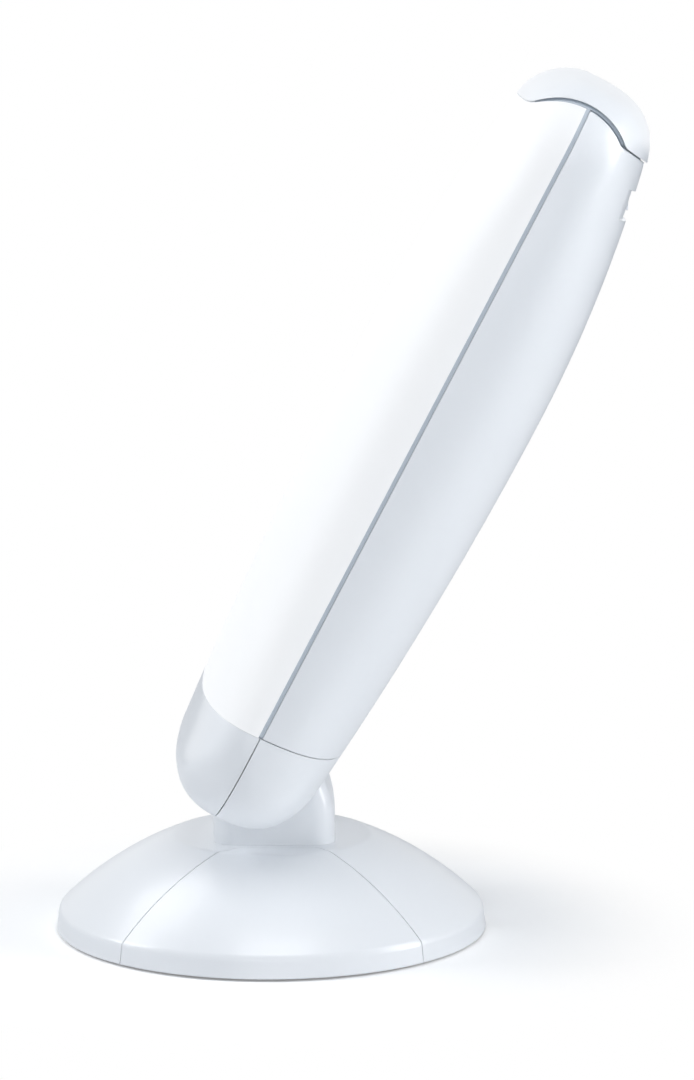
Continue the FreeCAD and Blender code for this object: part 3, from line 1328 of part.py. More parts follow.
def make_switch():
    """Rocker switch: its housing, terminals and rocker."""
    frame = HEAD + " * " + SWITCH
    bezel = block("switch_bezel", "switch_width", "switch_bezel_height", "switch_bezel")
    body = block("switch_body", "switch_width - 2 * switch_rim",
                 "switch_bezel_height - 2 * switch_rim", "switch_depth", z="0 - switch_depth")
    mouth = block("switch_mouth", "2 * (rocker_half_width + rocker_gap)",
                  "2 * (rocker_half_length + rocker_gap)", "switch_depth",
                  z="switch_bezel - switch_depth")
    stub_hole = rod("switch_stub_hole", "rocker_stub_radius + running_fit",
                    "2 * (rocker_half_width + rocker_gap + rocker_stub)",
                    "0 - rocker_half_width - rocker_gap - rocker_stub", "0", "0 - rocker_pivot", "X")
    keep("switch_housing", cut("switch_cut", fuse("switch_solid", bezel, body), mouth, stub_hole),
         frame)
    blades = [block("switch_blade", "blade_width", "blade_thickness", "blade_length", "0",
                    "switch_bezel_height / 4 * %d" % side, "0 - switch_depth - blade_length")
              for side in (-1, 1)]
    keep("switch_terminals", group("blades", *blades), frame)
    half = "rocker_half_length"
    high = "(rocker_rise + rocker_pivot)"
    rocker = prism("rocker_form", "YZ_Plane", [
        ("0 - " + half, "0 - rocker_drop"),
        (half, "0 - rocker_drop"),
        (half, high),
        (half + " * 0.6", high),
        ("0 - " + half + " * 0.6", high + " * 0.62"),
        ("0 - " + half, high),
    ], "2 * rocker_half_width", "0 - rocker_half_width")
    stub = rod("rocker_stub", "rocker_stub_radius",
               "2 * (rocker_half_width + rocker_gap + rocker_stub) - 4 * seat_fit",
               "0 - rocker_half_width - rocker_gap - rocker_stub + 2 * seat_fit", "0", "0", "X")
    keep("rocker", fuse("rocker_solid", rocker, stub),
         frame + " * placement(vector(0; 0; 0 - rocker_pivot); rotation(vector(1; 0; 0); rocker_tilt))")


SWITCH = switch_seat()


# --- Head, inside ----------------------------------------------------------------------------

def make_axle():
    """Tilt axle with its washers, spring washers and lock nut, and the two hinge brackets."""
    cheek = "neck_half_width + cheek_gap"
    bracket = total(cheek, "cheek_wall", "2 * frame_fit")
    spring = total(bracket, "bracket_thickness", "frame_fit")
    end = total(spring, "spring_washer_thickness", "frame_fit")
    head_start = "0 - %s - axle_head_length" % end
    axle = fuse("axle_solid",
                rod("axle_shank", "axle_radius", total(end, end, "nut_length"), "0 - " + end, "0", "0",
                    "X"),
                rod("axle_head", "axle_head_radius", "axle_head_length", head_start, "0", "0", "X"))
    keep("tilt_axle", axle, HEAD)
    nut = cut("nut_cut", hexagon("nut_blank", "nut_across_flats / sqrt(3)", "nut_length", end, "0",
                                 "0", "X"),
              rod("nut_bore", "axle_radius + seat_fit", "nut_length * 3", less(end, "nut_length"), "0",
                  "0", "X"))
    keep("lock_nut", nut, HEAD)
    washers, springs = [], []
    for side in (-1, 1):
        for rings, start, thick, radius in (
                (washers, less(cheek, "seat_fit + washer_thickness"), "washer_thickness",
                 "washer_radius"),
                (springs, spring, "spring_washer_thickness", "washer_radius * 0.8")):
            left = "(%s) * %d" % (start, side)
            if side < 0:
                left = less(left, thick)
            rings.append(ring("washer", radius, "axle_radius + seat_fit", thick, left, "0", "0", "X"))
    keep("friction_washers", group("washers", *washers), HEAD)
    keep("spring_washers", group("springs", *springs), HEAD)
    screws = []
    for side, label in ((-1, "left"), (1, "right")):
        keep("hinge_bracket_" + label, make_bracket(side, bracket), HEAD)
        for height in bracket_screw_heights():
            x = "(%s + bracket_flange / 2) * %d" % (bracket, side)
            screws.append(fuse(
                "bracket_screw",
                rod("bracket_shank", "bracket_screw_radius", "bracket_thickness + chassis_sheet", x,
                    "chassis_y - bracket_thickness", height, "Y"),
                rod("bracket_head", "bracket_screw_radius * 1.8", "screw_head_height", x,
                    "chassis_y + chassis_sheet", height, "Y")))
    keep("bracket_screws", group("bracket_screw_set", *screws), HEAD)


def bracket_screw_heights():
    return "bracket_top * 0.45", "bracket_top * 0.85"


def make_bracket(side, start):
    """Steel bracket: an eye on the axle, a web and a flange screwed to the chassis."""
    def sheet_part(name, low, high):
        near, far = "(%s) * %d" % (start, side), "(%s) * %d" % (total(start, "bracket_thickness"), side)
        ends = (near, far) if side > 0 else (far, near)
        return span(name, (ends[0],) + low, (ends[1],) + high)
    outer_edge = "(%s) * %d" % (total(start, "bracket_flange"), side)
    inner_edge = "(%s) * %d" % (start, side)
    edges = (inner_edge, outer_edge) if side > 0 else (outer_edge, inner_edge)
    eye = rod("bracket_eye", "bracket_eye_radius", "bracket_thickness",
              inner_edge if side > 0 else less(inner_edge, "bracket_thickness"), "0", "0", "X")
    web = sheet_part("bracket_web", ("0 - bracket_eye_radius / 2", "0"), ("chassis_y", "bracket_web_top"))
    flange = span("bracket_flange", (edges[0], "chassis_y - bracket_thickness", "bracket_thickness"),
                  (edges[1], "chassis_y", "bracket_top"))
    middle = "(%s + bracket_flange / 2) * %d" % (start, side)
    holes = [rod("bracket_screw_hole", "bracket_screw_radius + seat_fit", "4 * bracket_thickness",
                 middle, "chassis_y - 2 * bracket_thickness", height, "Y")
             for height in bracket_screw_heights()]
    bore = rod("bracket_bore", "axle_radius + seat_fit", WIDE, "0 - %s / 2" % WIDE, "0", "0", "X")
    return cut("bracket", fuse("bracket_solid", eye, web, flange), bore, *holes)


def make_reflector():
    """Folded reflector with a ridge between the two lamps, and the chassis plate behind it."""
    trough = "reflector_y"
    lip = "(reflector_y - reflector_lip)"
    flat = "(reflector_half_width - reflector_lip * 0.4)"
    inner = "(tube_spacing - tube_pitch - reflector_lip * 0.1)"
    sheet_back = "(reflector_y + reflector_sheet)"
    ridge = "(reflector_y - reflector_ridge)"
    wide = total("reflector_half_width", "reflector_sheet * 1.1")
    corners = [
        ("0 - reflector_half_width", lip), ("0 - " + flat, trough), ("0 - " + inner, trough),
        ("0", ridge), (inner, trough), (flat, trough), ("reflector_half_width", lip),
        (wide, lip), (total(flat, "reflector_sheet * 0.7"), sheet_back), (inner, sheet_back),
        ("0", total(ridge, "reflector_sheet")), ("0 - " + inner, sheet_back),
        ("0 - " + total(flat, "reflector_sheet * 0.7"), sheet_back), ("0 - " + wide, lip)]
    keep("reflector", prism("reflector_fold", "XY_Plane", corners,
                            "reflector_top - reflector_bottom", "reflector_bottom"), HEAD)
    plate = span("chassis_plate", ("0 - chassis_half_width", "chassis_y", "chassis_bottom"),
                 ("chassis_half_width", "chassis_y + chassis_sheet", "chassis_top"))
    shelf = less("lamp_seat", "holder_height + chassis_sheet + seat_fit")
    parts = []
    for side in (-1, 1):
        parts.append(block("chassis_tab", "lamp_base_width", "chassis_sheet",
                           less("chassis_bottom", shelf), "tube_spacing * %d" % side,
                           "chassis_y + chassis_sheet / 2", shelf))
        parts.append(block("chassis_shelf", "lamp_base_width", "chassis_y - tube_y + lamp_base_depth / 2",
                           "chassis_sheet", "tube_spacing * %d" % side,
                           "(chassis_y + tube_y - lamp_base_depth / 2) / 2", shelf))
    holes = [rod("chassis_screw_hole", "housing_screw_radius + seat_fit", "chassis_sheet * 3", x,
                 "chassis_y - chassis_sheet", height, "Y") for x, height in housing_screw_places()]
    middle = "(neck_half_width + cheek_gap + cheek_wall + 2 * frame_fit + bracket_flange / 2)"
    holes += [rod("chassis_bracket_hole", "bracket_screw_radius + seat_fit", "chassis_sheet * 3",
                  "%s * %d" % (middle, side), "chassis_y - chassis_sheet", height, "Y")
              for side in (-1, 1) for height in bracket_screw_heights()]
    keep("chassis", cut("chassis_cut", fuse("chassis_solid", plate, *parts), *holes), HEAD)
    screws = []
    for x, height in housing_screw_places():
        seat = "chassis_y + chassis_sheet + housing_boss_floor"
        screws.append(fuse(
            "housing_screw",
            rod("housing_shank", "housing_screw_radius", "chassis_sheet + housing_boss_floor", x,
                "chassis_y", height, "Y"),
            rod("housing_head", "housing_head_radius", "housing_head_height", x, seat, height, "Y")))
    keep("housing_screws", group("housing_screw_set", *screws), HEAD)


def make_lamps():
    """Two twin-leg fluorescent lamps with their bases, holders and clips."""
    base_top = "lamp_seat + lamp_base_height"
    clips = []
    for side, label in ((-1, "left"), (1, "right")):
        middle = "tube_spacing * %d" % side
        legs = ["(%s + tube_pitch / 2 * %d)" % (middle, leg) for leg in (-1, 1)]
        start = less(base_top, "tube_socket")
        end = "lamp_seat + tube_length - tube_radius"
        glass, hollows = [], []
        for x in legs:
            for solids, radius, low in ((glass, "tube_radius", start),
                                        (hollows, "tube_radius - tube_wall", less(start, "tube_wall"))):
                solids.append(rod("tube_leg", radius, less(end, low), x, "tube_y", low))
                solids.append(ball("tube_tip", radius, x, "tube_y", end))
        glass.append(rod("tube_bridge", "tube_bridge_radius", "tube_pitch", legs[0], "tube_y",
                         "lamp_seat + tube_length - tube_bridge", "X"))
        keep("lamp_tube_" + label, cut("tube", fuse("glass", *glass), *hollows), HEAD)
        pins = ["(%s + lamp_pin_pitch * %s)" % (middle, step) for step in (-1.5, -0.5, 0.5, 1.5)]
        base = fuse("lamp_base_solid",
                    block("lamp_base_block", "lamp_base_width", "lamp_base_depth", "lamp_base_height",
                          middle, "tube_y", "lamp_seat"),
                    *[rod("lamp_pin", "lamp_pin_radius", "lamp_pin_length + 1", x, "tube_y",
                          "lamp_seat - lamp_pin_length") for x in pins])
        sockets = [rod("tube_seat", "tube_radius + seat_fit", "tube_socket + 1", x, "tube_y", start)
                   for x in legs]
        keep("lamp_base_" + label, cut("lamp_base_cut", base, *sockets), HEAD)
        holder = block("holder_block", "lamp_base_width + 2 * holder_margin",
                       "lamp_base_depth + 2 * holder_margin", "holder_height", middle, "tube_y",
                       "lamp_seat - holder_height")
        keep("lampholder_" + label, cut("holder_cut", holder, *[
            rod("holder_pin_hole", "lamp_pin_radius + seat_fit", "lamp_pin_length + 2", x, "tube_y",
                "lamp_seat - lamp_pin_length - 1") for x in pins]), HEAD)
        clips.append(cut(
            "clip",
            block("clip_block", "tube_pitch + 2 * tube_radius + 3", "reflector_y - tube_y - seat_fit",
                  "clip_width", middle, "(reflector_y + tube_y - seat_fit) / 2", "clip_height"),
            *[rod("clip_bore", "tube_radius + seat_fit", "clip_width * 3", x, "tube_y",
                  "clip_height - clip_width") for x in legs]))
    keep("tube_clips", group("clips", *clips), HEAD)


def make_electrics():
    """Ballast with its board, and the terminal block, on the back of the chassis."""
    back = "(chassis_y + chassis_sheet + seat_fit)"
    depth, sheet_wall = "ballast_depth", "ballast_sheet"
    inner_width = "(ballast_width - 2 * ballast_sheet)"
    inner_length = "(ballast_length - 2 * ballast_sheet)"
    floor = total(back, sheet_wall)
    case = block("case_block", "ballast_width", less(depth, sheet_wall), "ballast_length", "0",
                 total(back, "(ballast_depth - ballast_sheet) / 2"), "ballast_bottom")
    hollow = block("case_hollow", inner_width, depth, inner_length, "0",
                   total(floor, "ballast_depth / 2"), "ballast_bottom + ballast_sheet")
    keep("ballast_case", cut("case", case, hollow), HEAD)
    keep("ballast_cover", block("cover_sheet", "ballast_width", sheet_wall, "ballast_length", "0",
                                total(back, depth, "seat_fit - ballast_sheet / 2"), "ballast_bottom"),
         HEAD)
    board_y = total(floor, "board_standoff")
    board = block("board_sheet", inner_width + " - 1", "board_thickness", inner_length + " - 4", "0",
                  total(board_y, "board_thickness / 2"), "ballast_bottom + ballast_sheet + 2")
    parts = [board]
    top = total(board_y, "board_thickness")
    for x, along, radius in ((-9, 0.16, 7), (8, 0.3, 6), (-8, 0.52, 5.5), (9, 0.72, 6.5)):
        parts.append(rod("board_can", str(radius), "13", str(x), top,
                         "ballast_bottom + ballast_length * %r" % along, "Y"))
    for x, along, width, height in ((6, 0.12, 20, 16), (-6, 0.36, 18, 20), (0, 0.6, 26, 18),
                                    (-6, 0.82, 18, 24)):
        parts.append(block("board_coil", str(width), "11", str(height), str(x), total(top, "5.5"),
                           "ballast_bottom + ballast_length * %r" % along))
    keep("ballast_board", fuse("board_solid", *parts), HEAD)
    blank = block("terminal_blank", "terminal_width", "terminal_depth", "terminal_height", "0",
                  total(back, "terminal_depth / 2"), "terminal_bottom")
    ways = int(value("terminal_ways"))
    tools = []
    for index in range(ways):
        x = "terminal_width * %r" % ((index + 0.5) / ways - 0.5)
        tools.append(rod("terminal_wire_hole", "terminal_hole_radius", "terminal_height * 3", x,
                         total(back, "terminal_depth * 0.4"), "terminal_bottom - terminal_height"))
        tools.append(rod("terminal_screw_hole", "terminal_hole_radius * 1.3", "terminal_depth", x,
                         total(back, "terminal_depth * 0.4"), "terminal_bottom + terminal_height / 2",
                         "Y"))
    keep("terminal_block", cut("terminal_cut", blank, *tools), HEAD)


# --- Build and write -------------------------------------------------------------------------

make_foot_cover()
make_base()
make_post()
make_inlet()
head_shells()
make_axle()
make_reflector()
make_lamps()
make_electrics()
make_switch()
doc.recompute()

broken = [item.Label for item in doc.Objects if {"Invalid", "Error"} & set(item.State)]
if broken:
    raise RuntimeError("these objects failed: " + ", ".join(broken))
for label, item in pieces.items():
    shape = item.Shape
    if shape.isNull() or not shape.isValid() or not shape.Solids:
        raise RuntimeError(label + " has no valid solid")
os.makedirs("parts", exist_ok=True)
for label, item in pieces.items():
    item.Shape.exportStep("parts/%s.step" % label)
    print("%-22s solids %2d  volume %9.0f" % (label, len(item.Shape.Solids), item.Shape.Volume))
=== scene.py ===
"""Looks of a light therapy lamp: a tilting two-tube light panel on a round, weighted foot.

Metres. Z is up, the light shines towards -Y, and the origin is the centre of the foot on the
surface that the lamp stands on.
"""
import json
import logging
import math
from dataclasses import dataclass, field
from enum import Enum

import bpy
from mathutils import Matrix, Vector

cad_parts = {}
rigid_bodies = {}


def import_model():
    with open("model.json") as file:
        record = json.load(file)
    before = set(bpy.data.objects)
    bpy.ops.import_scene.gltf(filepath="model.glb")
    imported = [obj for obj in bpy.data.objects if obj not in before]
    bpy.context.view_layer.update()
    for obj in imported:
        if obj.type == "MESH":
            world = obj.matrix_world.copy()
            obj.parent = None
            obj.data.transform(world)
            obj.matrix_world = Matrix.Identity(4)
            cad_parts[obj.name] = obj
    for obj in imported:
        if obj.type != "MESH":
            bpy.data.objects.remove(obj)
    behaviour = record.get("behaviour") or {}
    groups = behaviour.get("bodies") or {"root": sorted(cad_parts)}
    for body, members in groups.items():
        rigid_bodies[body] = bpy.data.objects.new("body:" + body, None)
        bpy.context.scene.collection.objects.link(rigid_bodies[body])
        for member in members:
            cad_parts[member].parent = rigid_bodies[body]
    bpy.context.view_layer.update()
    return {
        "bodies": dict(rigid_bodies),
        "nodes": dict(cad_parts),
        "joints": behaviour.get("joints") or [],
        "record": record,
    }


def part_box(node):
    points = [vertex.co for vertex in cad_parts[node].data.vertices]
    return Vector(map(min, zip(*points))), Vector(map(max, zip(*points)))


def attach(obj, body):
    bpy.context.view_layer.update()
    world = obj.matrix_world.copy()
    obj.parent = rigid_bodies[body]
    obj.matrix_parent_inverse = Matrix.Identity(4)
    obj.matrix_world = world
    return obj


LOG = logging.getLogger("light_therapy_lamp")
MM = 0.001
WHITE = (1.0, 1.0, 1.0, 1.0)


# --- Colour and nodes ------------------------------------------------------------------------

def linear(code: str) -> tuple[float, float, float, float]:
    """Turn an sRGB hex colour into the linear colour that a node takes.

    Args:
        code: the colour as "#rrggbb".

    Returns:
        Linear red, green and blue, and an alpha of 1.
    """
    parts = [int(code[place:place + 2], 16) / 255 for place in (1, 3, 5)]
    return tuple(part / 12.92 if part <= 0.04045 else ((part + 0.055) / 1.055) ** 2.4
                 for part in parts) + (1.0,)


def add_node(tree: bpy.types.NodeTree, kind: str, inputs: dict | None = None,
             **settings: object) -> bpy.types.Node:
    """Add one node, with its settings, values and links.

    Args:
        tree: the tree that the node goes in.
        kind: the node's type.
        inputs: socket name or number to a value, or to the output socket that feeds it.
        settings: the node's own properties.

    Returns:
        The new node.
    """
    node = tree.nodes.new(kind)
    for name, setting in settings.items():
        setattr(node, name, setting)
    for name, value in (inputs or {}).items():
        if isinstance(value, bpy.types.NodeSocket):
            tree.links.new(value, node.inputs[name])
        else:
            node.inputs[name].default_value = value
    return node


# --- Finishes --------------------------------------------------------------------------------

@dataclass(frozen=True)
class Finish:
    """A surface finish: colour, gloss and the fine unevenness that its making leaves.

    The grain is the small relief of the mould or the metal, drawn out along an axis where its
    stretch is under 1. The swell is the slow, shallow waviness that bends reflections. Wear is
    the share by which the roughness varies. Glow is painted light: an even emission that
    brightens the surface whatever the lamps do. Sizes ending in mm, and both depths, are in
    millimetres.
    """
    name: str
    colour: str
    shade: str
    roughness: float
    ior: float = 1.5
    metallic: float = 0.0
    coat: float = 0.0
    grain_mm: float = 0.6
    grain_depth: float = 0.02
    swell_mm: float = 40.0
    swell_depth: float = 0.01
    wear: float = 0.05
    edge_mm: float = 0.4
    subsurface: float = 0.0
    subsurface_mm: float = 3.0
    glow: float = 0.0
    stretch: tuple[float, float, float] = (1.0, 1.0, 1.0)
    coat_roughness: float = 0.12
    cloud_to_swell: float = 2.5
    edge_samples: int = 6

    def material(self) -> bpy.types.Material:
        """Build the node material of this finish."""
        material = bpy.data.materials.new(self.name)
        material.use_nodes = True
        tree = material.node_tree
        tree.nodes.clear()
        place = add_node(tree, "ShaderNodeTexCoord").outputs["Object"]
        cloud = add_node(tree, "ShaderNodeTexNoise", {
            "Vector": place, "Scale": 1 / (self.swell_mm * self.cloud_to_swell * MM),
            "Detail": 3.0})
        tint = add_node(tree, "ShaderNodeMix", {
            "Factor": cloud.outputs["Fac"], "A": linear(self.colour), "B": linear(self.shade)},
            data_type="RGBA")
        drawn = add_node(tree, "ShaderNodeMapping", {"Vector": place, "Scale": self.stretch})
        grain = add_node(tree, "ShaderNodeTexNoise", {
            "Vector": drawn.outputs["Vector"], "Scale": 1 / (self.grain_mm * MM), "Detail": 2.0})
        swell = add_node(tree, "ShaderNodeTexNoise", {
            "Vector": place, "Scale": 1 / (self.swell_mm * MM), "Detail": 1.0})
        gloss = add_node(tree, "ShaderNodeMapRange", {
            "Value": cloud.outputs["Fac"], "To Min": self.roughness * (1 - self.wear),
            "To Max": self.roughness * (1 + self.wear)})
        edge = add_node(tree, "ShaderNodeBevel", {"Radius": self.edge_mm * MM},
                        samples=self.edge_samples)
        fine = add_node(tree, "ShaderNodeBump", {
            "Height": grain.outputs["Fac"], "Distance": self.grain_depth * MM, "Strength": 1.0,
            "Normal": edge.outputs["Normal"]})
        slow = add_node(tree, "ShaderNodeBump", {
            "Height": swell.outputs["Fac"], "Distance": self.swell_depth * MM, "Strength": 1.0,
            "Normal": fine.outputs["Normal"]})
        shader = add_node(tree, "ShaderNodeBsdfPrincipled", {
            "Base Color": tint.outputs["Result"],
            "Roughness": gloss.outputs["Result"],
            "Normal": slow.outputs["Normal"],
            "Metallic": self.metallic,
            "Coat Weight": self.coat,
            "Coat Roughness": self.coat_roughness,
            "Subsurface Weight": self.subsurface,
            "Subsurface Scale": self.subsurface_mm * MM,
            "Subsurface Radius": (1.0, 1.0, 1.0),
            "Emission Color": WHITE,
            # Emission Strength is the painted glow: even light laid on the surface whatever the
            # lamps do.
            "Emission Strength": self.glow})
        if self.metallic == 0:
            shader.inputs["IOR"].default_value = self.ior
        add_node(tree, "ShaderNodeOutputMaterial", {"Surface": shader.outputs["BSDF"]})
        return material


class Finishes(Enum):
    """The finishes of the lamp's pieces."""
    # Injection-moulded ABS from a polished tool: cool white, with a soft gloss.
    WHITE_ABS = Finish("white moulded ABS", "#f1f4f7", "#eef1f5", 0.30, 1.53, coat=0.15,
                       edge_mm=0.8)
    # Opal acrylic: milky, so its shadows are soft. Its glow is painted light, an even emission
    # with the tubes behind it unlit, over a base colour darkened to grey so that the glow gives
    # most of its brightness.
    OPAL_ACRYLIC = Finish("opal acrylic diffuser", "#b6b8ba", "#b3b5b8", 0.60, 1.40,
                          subsurface=0.35, subsurface_mm=6.0, glow=0.50)
    # Grey ink pressed on by a pad, a little raised.
    INK = Finish("grey pad printed ink", "#8b9299", "#868d94", 0.6, 1.5, edge_mm=0.1)
    # The frame behind the seams: a cool grey, so that the seams read darker than the white shells.
    GREY_ABS = Finish("grey moulded ABS", "#c3ccd5", "#bcc5cf", 0.42, 1.53)
    # Compression-moulded rubber with a dull bloom.
    RUBBER = Finish("moulded rubber foot", "#2b2c2e", "#333436", 0.75, 1.52, grain_depth=0.06)
    # Steel with a bright zinc coat.
    ZINC = Finish("zinc plated steel", "#b9bcc0", "#a9adb3", 0.34, metallic=1.0, wear=0.2)
    # Black powder coat with its orange-peel swell.
    POWDER_COAT = Finish("black powder coated steel", "#2a2b2d", "#242527", 0.5, 1.5,
                         grain_mm=1.2, grain_depth=0.06)
    # Sand-cast iron with a rough skin.
    CAST_IRON = Finish("sand cast iron", "#3a3a3b", "#454443", 0.7, metallic=0.6, grain_mm=1.5,
                       grain_depth=0.15, wear=0.15)
    # Stove enamel on sheet steel.
    ENAMEL = Finish("white stove enamel", "#e8e8e6", "#e3e3e1", 0.3, 1.5, coat=0.2)
    # Rolled bright aluminium.
    ALUMINIUM = Finish("rolled bright aluminium", "#dfe1e4", "#d6d9dd", 0.18, metallic=1.0,
                       stretch=(1.0, 1.0, 0.05))
    # Glass tube with the white powder of the phosphor behind it.
    PHOSPHOR = Finish("phosphor coated glass", "#f2f3f2", "#edeeed", 0.12, 1.52, coat=0.4)
    # Pale heat-proof moulding compound.
    HOLDER = Finish("white thermoset plastic", "#e6e5e0", "#dfded8", 0.5, 1.54)
    # Black nylon from a fine-grained mould.
    BLACK_NYLON = Finish("black moulded nylon", "#1d1e20", "#232426", 0.42, 1.53, grain_depth=0.05)
    # Glass-fibre board under green solder resist.
    BOARD = Finish("green circuit board", "#1f5c3c", "#236543", 0.35, 1.5, coat=0.3)
    # Drawn brass.
    BRASS = Finish("drawn brass", "#d3ae62", "#c9a458", 0.28, metallic=1.0)
    # Self-lubricating acetal.
    ACETAL = Finish("natural acetal", "#e3e1d6", "#dddbd0", 0.45, 1.48)
    # Extruded flexible PVC.
    LEAD = Finish("black PVC lead", "#202123", "#26272a", 0.5, 1.53)


NODE_FINISHES: dict[str, Finishes] = {
    "foot_cover": Finishes.WHITE_ABS, "side_panel_left": Finishes.WHITE_ABS,
    "side_panel_right": Finishes.WHITE_ABS, "base_plate": Finishes.POWDER_COAT,
    "rubber_feet": Finishes.RUBBER, "cover_screws": Finishes.ZINC,
    "ballast_weight": Finishes.CAST_IRON, "hinge_post": Finishes.POWDER_COAT,
    "post_bolts": Finishes.ZINC, "post_nuts": Finishes.ZINC, "axle_bushes": Finishes.ACETAL,
    "power_inlet": Finishes.BLACK_NYLON, "inlet_pins": Finishes.BRASS,
    "inlet_board": Finishes.BOARD, "supply_lead": Finishes.LEAD,
    "diffuser": Finishes.OPAL_ACRYLIC, "rear_housing": Finishes.WHITE_ABS,
    "top_cap": Finishes.WHITE_ABS, "bottom_cap_front": Finishes.WHITE_ABS,
    "bottom_cap_rear": Finishes.WHITE_ABS, "mid_frame": Finishes.GREY_ABS,
    "tilt_axle": Finishes.ZINC, "lock_nut": Finishes.ZINC, "friction_washers": Finishes.ACETAL,
    "spring_washers": Finishes.ZINC, "hinge_bracket_left": Finishes.ZINC,
    "hinge_bracket_right": Finishes.ZINC, "bracket_screws": Finishes.ZINC,
    "reflector": Finishes.ALUMINIUM, "chassis": Finishes.ENAMEL,
    "housing_screws": Finishes.ZINC, "lamp_tube_left": Finishes.PHOSPHOR,
    "lamp_tube_right": Finishes.PHOSPHOR, "lamp_base_left": Finishes.HOLDER,
    "lamp_base_right": Finishes.HOLDER, "lampholder_left": Finishes.HOLDER,
    "lampholder_right": Finishes.HOLDER, "tube_clips": Finishes.HOLDER,
    "ballast_case": Finishes.ZINC, "ballast_board": Finishes.BOARD,
    "ballast_cover": Finishes.ENAMEL, "terminal_block": Finishes.HOLDER,
    "switch_housing": Finishes.WHITE_ABS, "switch_terminals": Finishes.BRASS,
    "rocker": Finishes.WHITE_ABS,
}


def dress_frame(frame: dict) -> None:
    """Give every carried-over solid its finish.
    """
    made: dict[Finishes, bpy.types.Material] = {}
    for name, node in frame["nodes"].items():
        finish = NODE_FINISHES[name]
        if finish not in made:
            made[finish] = finish.value.material()
        node.data.materials.clear()
        node.data.materials.append(made[finish])
        LOG.info("%s: %s", name, finish.value.name)


# --- Switch ----------------------------------------------------------------------------------

@dataclass
class SwitchMarks:
    """The bar and the ring that tell a switch's two positions, raised a little on its rocker."""
    facing: float = math.radians(17.37)
    apart: float = 1.8 * MM
    bar_length: float = 2.2 * MM
    stroke: float = 0.36 * MM
    ring_radius: float = 0.95 * MM
    height: float = 0.12 * MM
    bar_bevel: float = 0.072 * MM
    stand_off: float = 20 * MM

    def build(self, rocker: bpy.types.Object) -> None:
        """Set both marks on the rocker's face.

        Args:
            rocker: the rocker's node.
        """
        ink = Finishes.INK.value.material()
        for name, side, shape in (("on_mark", 1, self.bar), ("off_mark", -1, self.ring)):
            bpy.ops.object.select_all(action="DESELECT")
            mark = shape()
            mark.name = mark.data.name = name
            mark.matrix_world = self.seat(rocker, side)
            bpy.ops.object.transform_apply(location=True, rotation=True, scale=True)
            mark.data.materials.append(ink)
            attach(mark, "rocker")
            LOG.info("%s: %s", name, ink.name)

    def seat(self, rocker: bpy.types.Object, side: int) -> Matrix:
        """Find where a mark sits.

        Args:
            rocker: the rocker's node.
            side: 1 for its upper half, -1 for its lower half.

        Returns:
            The frame of the mark, with Z out of the rocker's face and Y up it.
        """
        low, high = (Vector(corner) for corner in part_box("rocker"))
        out = Vector((0.0, math.cos(self.facing), -math.sin(self.facing)))
        up = Vector((0.0, math.sin(self.facing), math.cos(self.facing)))
        start = (low + high) / 2 + up * self.apart * side + out * self.stand_off
        _, place, normal, _ = rocker.ray_cast(start, -out)
        across = up.cross(normal).normalized()
        frame = Matrix((across, normal.cross(across), normal)).transposed().to_4x4()
        return Matrix.Translation(place) @ frame

    def bar(self) -> bpy.types.Object:
        """Model the bar: a block with rounded corners."""
        bpy.ops.mesh.primitive_cube_add(size=1.0)
        bpy.ops.object.mode_set(mode="EDIT")
        bpy.ops.mesh.select_all(action="SELECT")
        bpy.ops.transform.resize(value=(self.stroke, self.bar_length, 2 * self.height))
        bpy.ops.mesh.bevel(offset=self.bar_bevel, segments=2)
        bpy.ops.object.mode_set(mode="OBJECT")
        return bpy.context.object

    def ring(self) -> bpy.types.Object:
        """Model the ring: a flattened torus."""
        bpy.ops.mesh.primitive_torus_add(major_segments=48, minor_segments=10,
                                         major_radius=self.ring_radius,
                                         minor_radius=self.stroke / 2)
        bpy.ops.object.mode_set(mode="EDIT")
        bpy.ops.mesh.select_all(action="SELECT")
        bpy.ops.transform.resize(value=(1.0, 1.0, 2 * self.height / self.stroke))
        bpy.ops.object.mode_set(mode="OBJECT")
        return bpy.context.object


# --- Studio ----------------------------------------------------------------------------------

@dataclass
class Softbox:
    """A rectangular lamp that faces a point."""
    name: str
    place: tuple[float, float, float]
    aim: tuple[float, float, float]
    width: float
    height: float
    power: float

    def build(self) -> None:
        """Hang the lamp in the scene."""
        light = bpy.data.lights.new(self.name, "AREA")
        light.shape = "RECTANGLE"
        light.size, light.size_y = self.width, self.height
        light.energy = self.power
        lamp = bpy.data.objects.new(self.name, light)
        lamp.location = self.place
        way = Vector(self.aim) - Vector(self.place)
        lamp.rotation_euler = way.to_track_quat("-Z", "Y").to_euler()
        bpy.context.collection.objects.link(lamp)


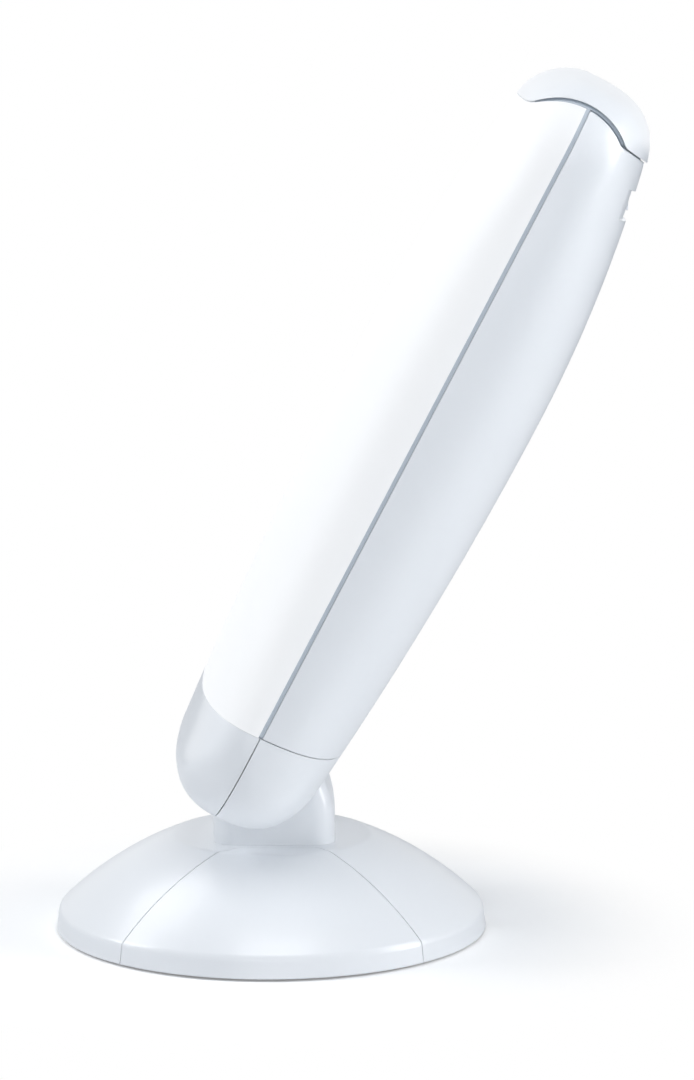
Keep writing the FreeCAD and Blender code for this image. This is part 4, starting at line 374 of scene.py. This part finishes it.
@dataclass
class Studio:
    """White studio: floor, sky, lamps and camera.

    Near the lamp the floor is lit, and lifted a little for the camera. From shadow_from metres
    it fades to plain white, which it reaches at shadow_reach.
    """
    floor_half: float = 6.0
    floor_colour: str = "#fcfcfc"
    shadow_from: float = 0.135
    shadow_reach: float = 0.27
    floor_lift: float = 0.19
    camera_place: tuple[float, float, float] = (2.270, 0.04573, 0.59503)
    camera_pitch: float = 8.977
    lens: float = 128.165
    sensor: float = 36.0
    sky: float = 0.08
    sky_colour: tuple[float, float, float, float] = (0.3, 0.6, 1.0, 1.0)
    lamps: list[Softbox] = field(default_factory=lambda: [
        Softbox("left softbox", (0.0, -1.5, 1.2), (0, 0, 0.25), 0.6, 0.8, 12.0),
        Softbox("right softbox", (0.35, 1.7, 0.7), (0, 0.1, 0.3), 0.5, 1.2, 15.2),
        Softbox("back softbox", (-0.6, -1.0, 1.6), (0, 0, 0.25), 0.8, 0.8, 6.6),
        Softbox("front softbox", (2.4, 0.0, 0.6), (0, 0, 0.25), 1.6, 1.2, 11.2),
        Softbox("upper softbox", (0.6, 0.1, 1.5), (0, 0.0, 0.2), 0.8, 0.8, 7.6),
    ])

    def build(self) -> None:
        """Set up the floor, the sky, the lamps and the camera."""
        self.build_floor()
        self.build_sky()
        for lamp in self.lamps:
            lamp.build()
        self.build_camera()

    def build_floor(self) -> None:
        """Lay the white floor, which keeps the lamp's shadow and is plain white further out."""
        bpy.ops.object.select_all(action="DESELECT")
        bpy.ops.mesh.primitive_plane_add(size=2 * self.floor_half)
        floor = bpy.context.object
        floor.name = "floor"
        material = bpy.data.materials.new("white studio floor")
        material.use_nodes = True
        tree = material.node_tree
        tree.nodes.clear()
        place = add_node(tree, "ShaderNodeTexCoord").outputs["Object"]
        distance = add_node(tree, "ShaderNodeVectorMath", {0: place}, operation="LENGTH")
        far = add_node(tree, "ShaderNodeMapRange", {
            "Value": distance.outputs["Value"], "From Min": self.shadow_from,
            "From Max": self.shadow_reach}, interpolation_type="SMOOTHSTEP")
        path = add_node(tree, "ShaderNodeLightPath")
        seen_far = add_node(tree, "ShaderNodeMath", {
            0: far.outputs["Result"], 1: path.outputs["Is Camera Ray"]}, operation="MULTIPLY")
        lift = add_node(tree, "ShaderNodeMath", {
            0: path.outputs["Is Camera Ray"], 1: self.floor_lift}, operation="MULTIPLY")
        diffuse = add_node(tree, "ShaderNodeBsdfDiffuse", {"Color": linear(self.floor_colour)})
        glow = add_node(tree, "ShaderNodeEmission", {"Strength": lift.outputs[0]})
        near = add_node(tree, "ShaderNodeAddShader",
                        {0: diffuse.outputs["BSDF"], 1: glow.outputs["Emission"]})
        white = add_node(tree, "ShaderNodeEmission", {"Strength": 1.0})
        both = add_node(tree, "ShaderNodeMixShader", {
            0: seen_far.outputs[0], 1: near.outputs["Shader"], 2: white.outputs["Emission"]})
        add_node(tree, "ShaderNodeOutputMaterial", {"Surface": both.outputs["Shader"]})
        floor.data.materials.append(material)

    def build_sky(self) -> None:
        """Make the sky white to the eye and to reflections, and a soft fill light otherwise."""
        world = bpy.data.worlds.new("white sky")
        bpy.context.scene.world = world
        world.use_nodes = True
        tree = world.node_tree
        tree.nodes.clear()
        path = add_node(tree, "ShaderNodeLightPath")
        seen = add_node(tree, "ShaderNodeMath", {
            0: path.outputs["Is Camera Ray"], 1: path.outputs["Is Glossy Ray"]},
            operation="MAXIMUM")
        seen = add_node(tree, "ShaderNodeMath", {
            0: seen.outputs[0], 1: path.outputs["Is Transmission Ray"]}, operation="MAXIMUM")
        fill = add_node(tree, "ShaderNodeBackground", {"Color": self.sky_colour,
                                                       "Strength": self.sky})
        white = add_node(tree, "ShaderNodeBackground", {"Color": WHITE, "Strength": 1.0})
        both = add_node(tree, "ShaderNodeMixShader", {
            0: seen.outputs[0], 1: fill.outputs["Background"], 2: white.outputs["Background"]})
        add_node(tree, "ShaderNodeOutputWorld", {"Surface": both.outputs["Shader"]})

    def build_camera(self) -> None:
        """Place the camera and make it the scene's own."""
        camera = bpy.data.objects.new("camera", bpy.data.cameras.new("camera"))
        camera.data.lens = self.lens
        camera.data.sensor_width = camera.data.sensor_height = self.sensor
        camera.location = self.camera_place
        camera.rotation_euler = (math.radians(90 - self.camera_pitch), 0.0, math.radians(90))
        bpy.context.collection.objects.link(camera)
        bpy.context.scene.camera = camera
        bpy.context.scene.view_settings.view_transform = "Standard"


def main() -> None:
    """Build the lamp's looks and the studio in order."""
    logging.basicConfig(level=logging.INFO, format="%(name)s: %(message)s")
    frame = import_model()
    Studio().build()
    dress_frame(frame)
    SwitchMarks().build(frame["nodes"]["rocker"])


if __name__ == "__main__":
    main()
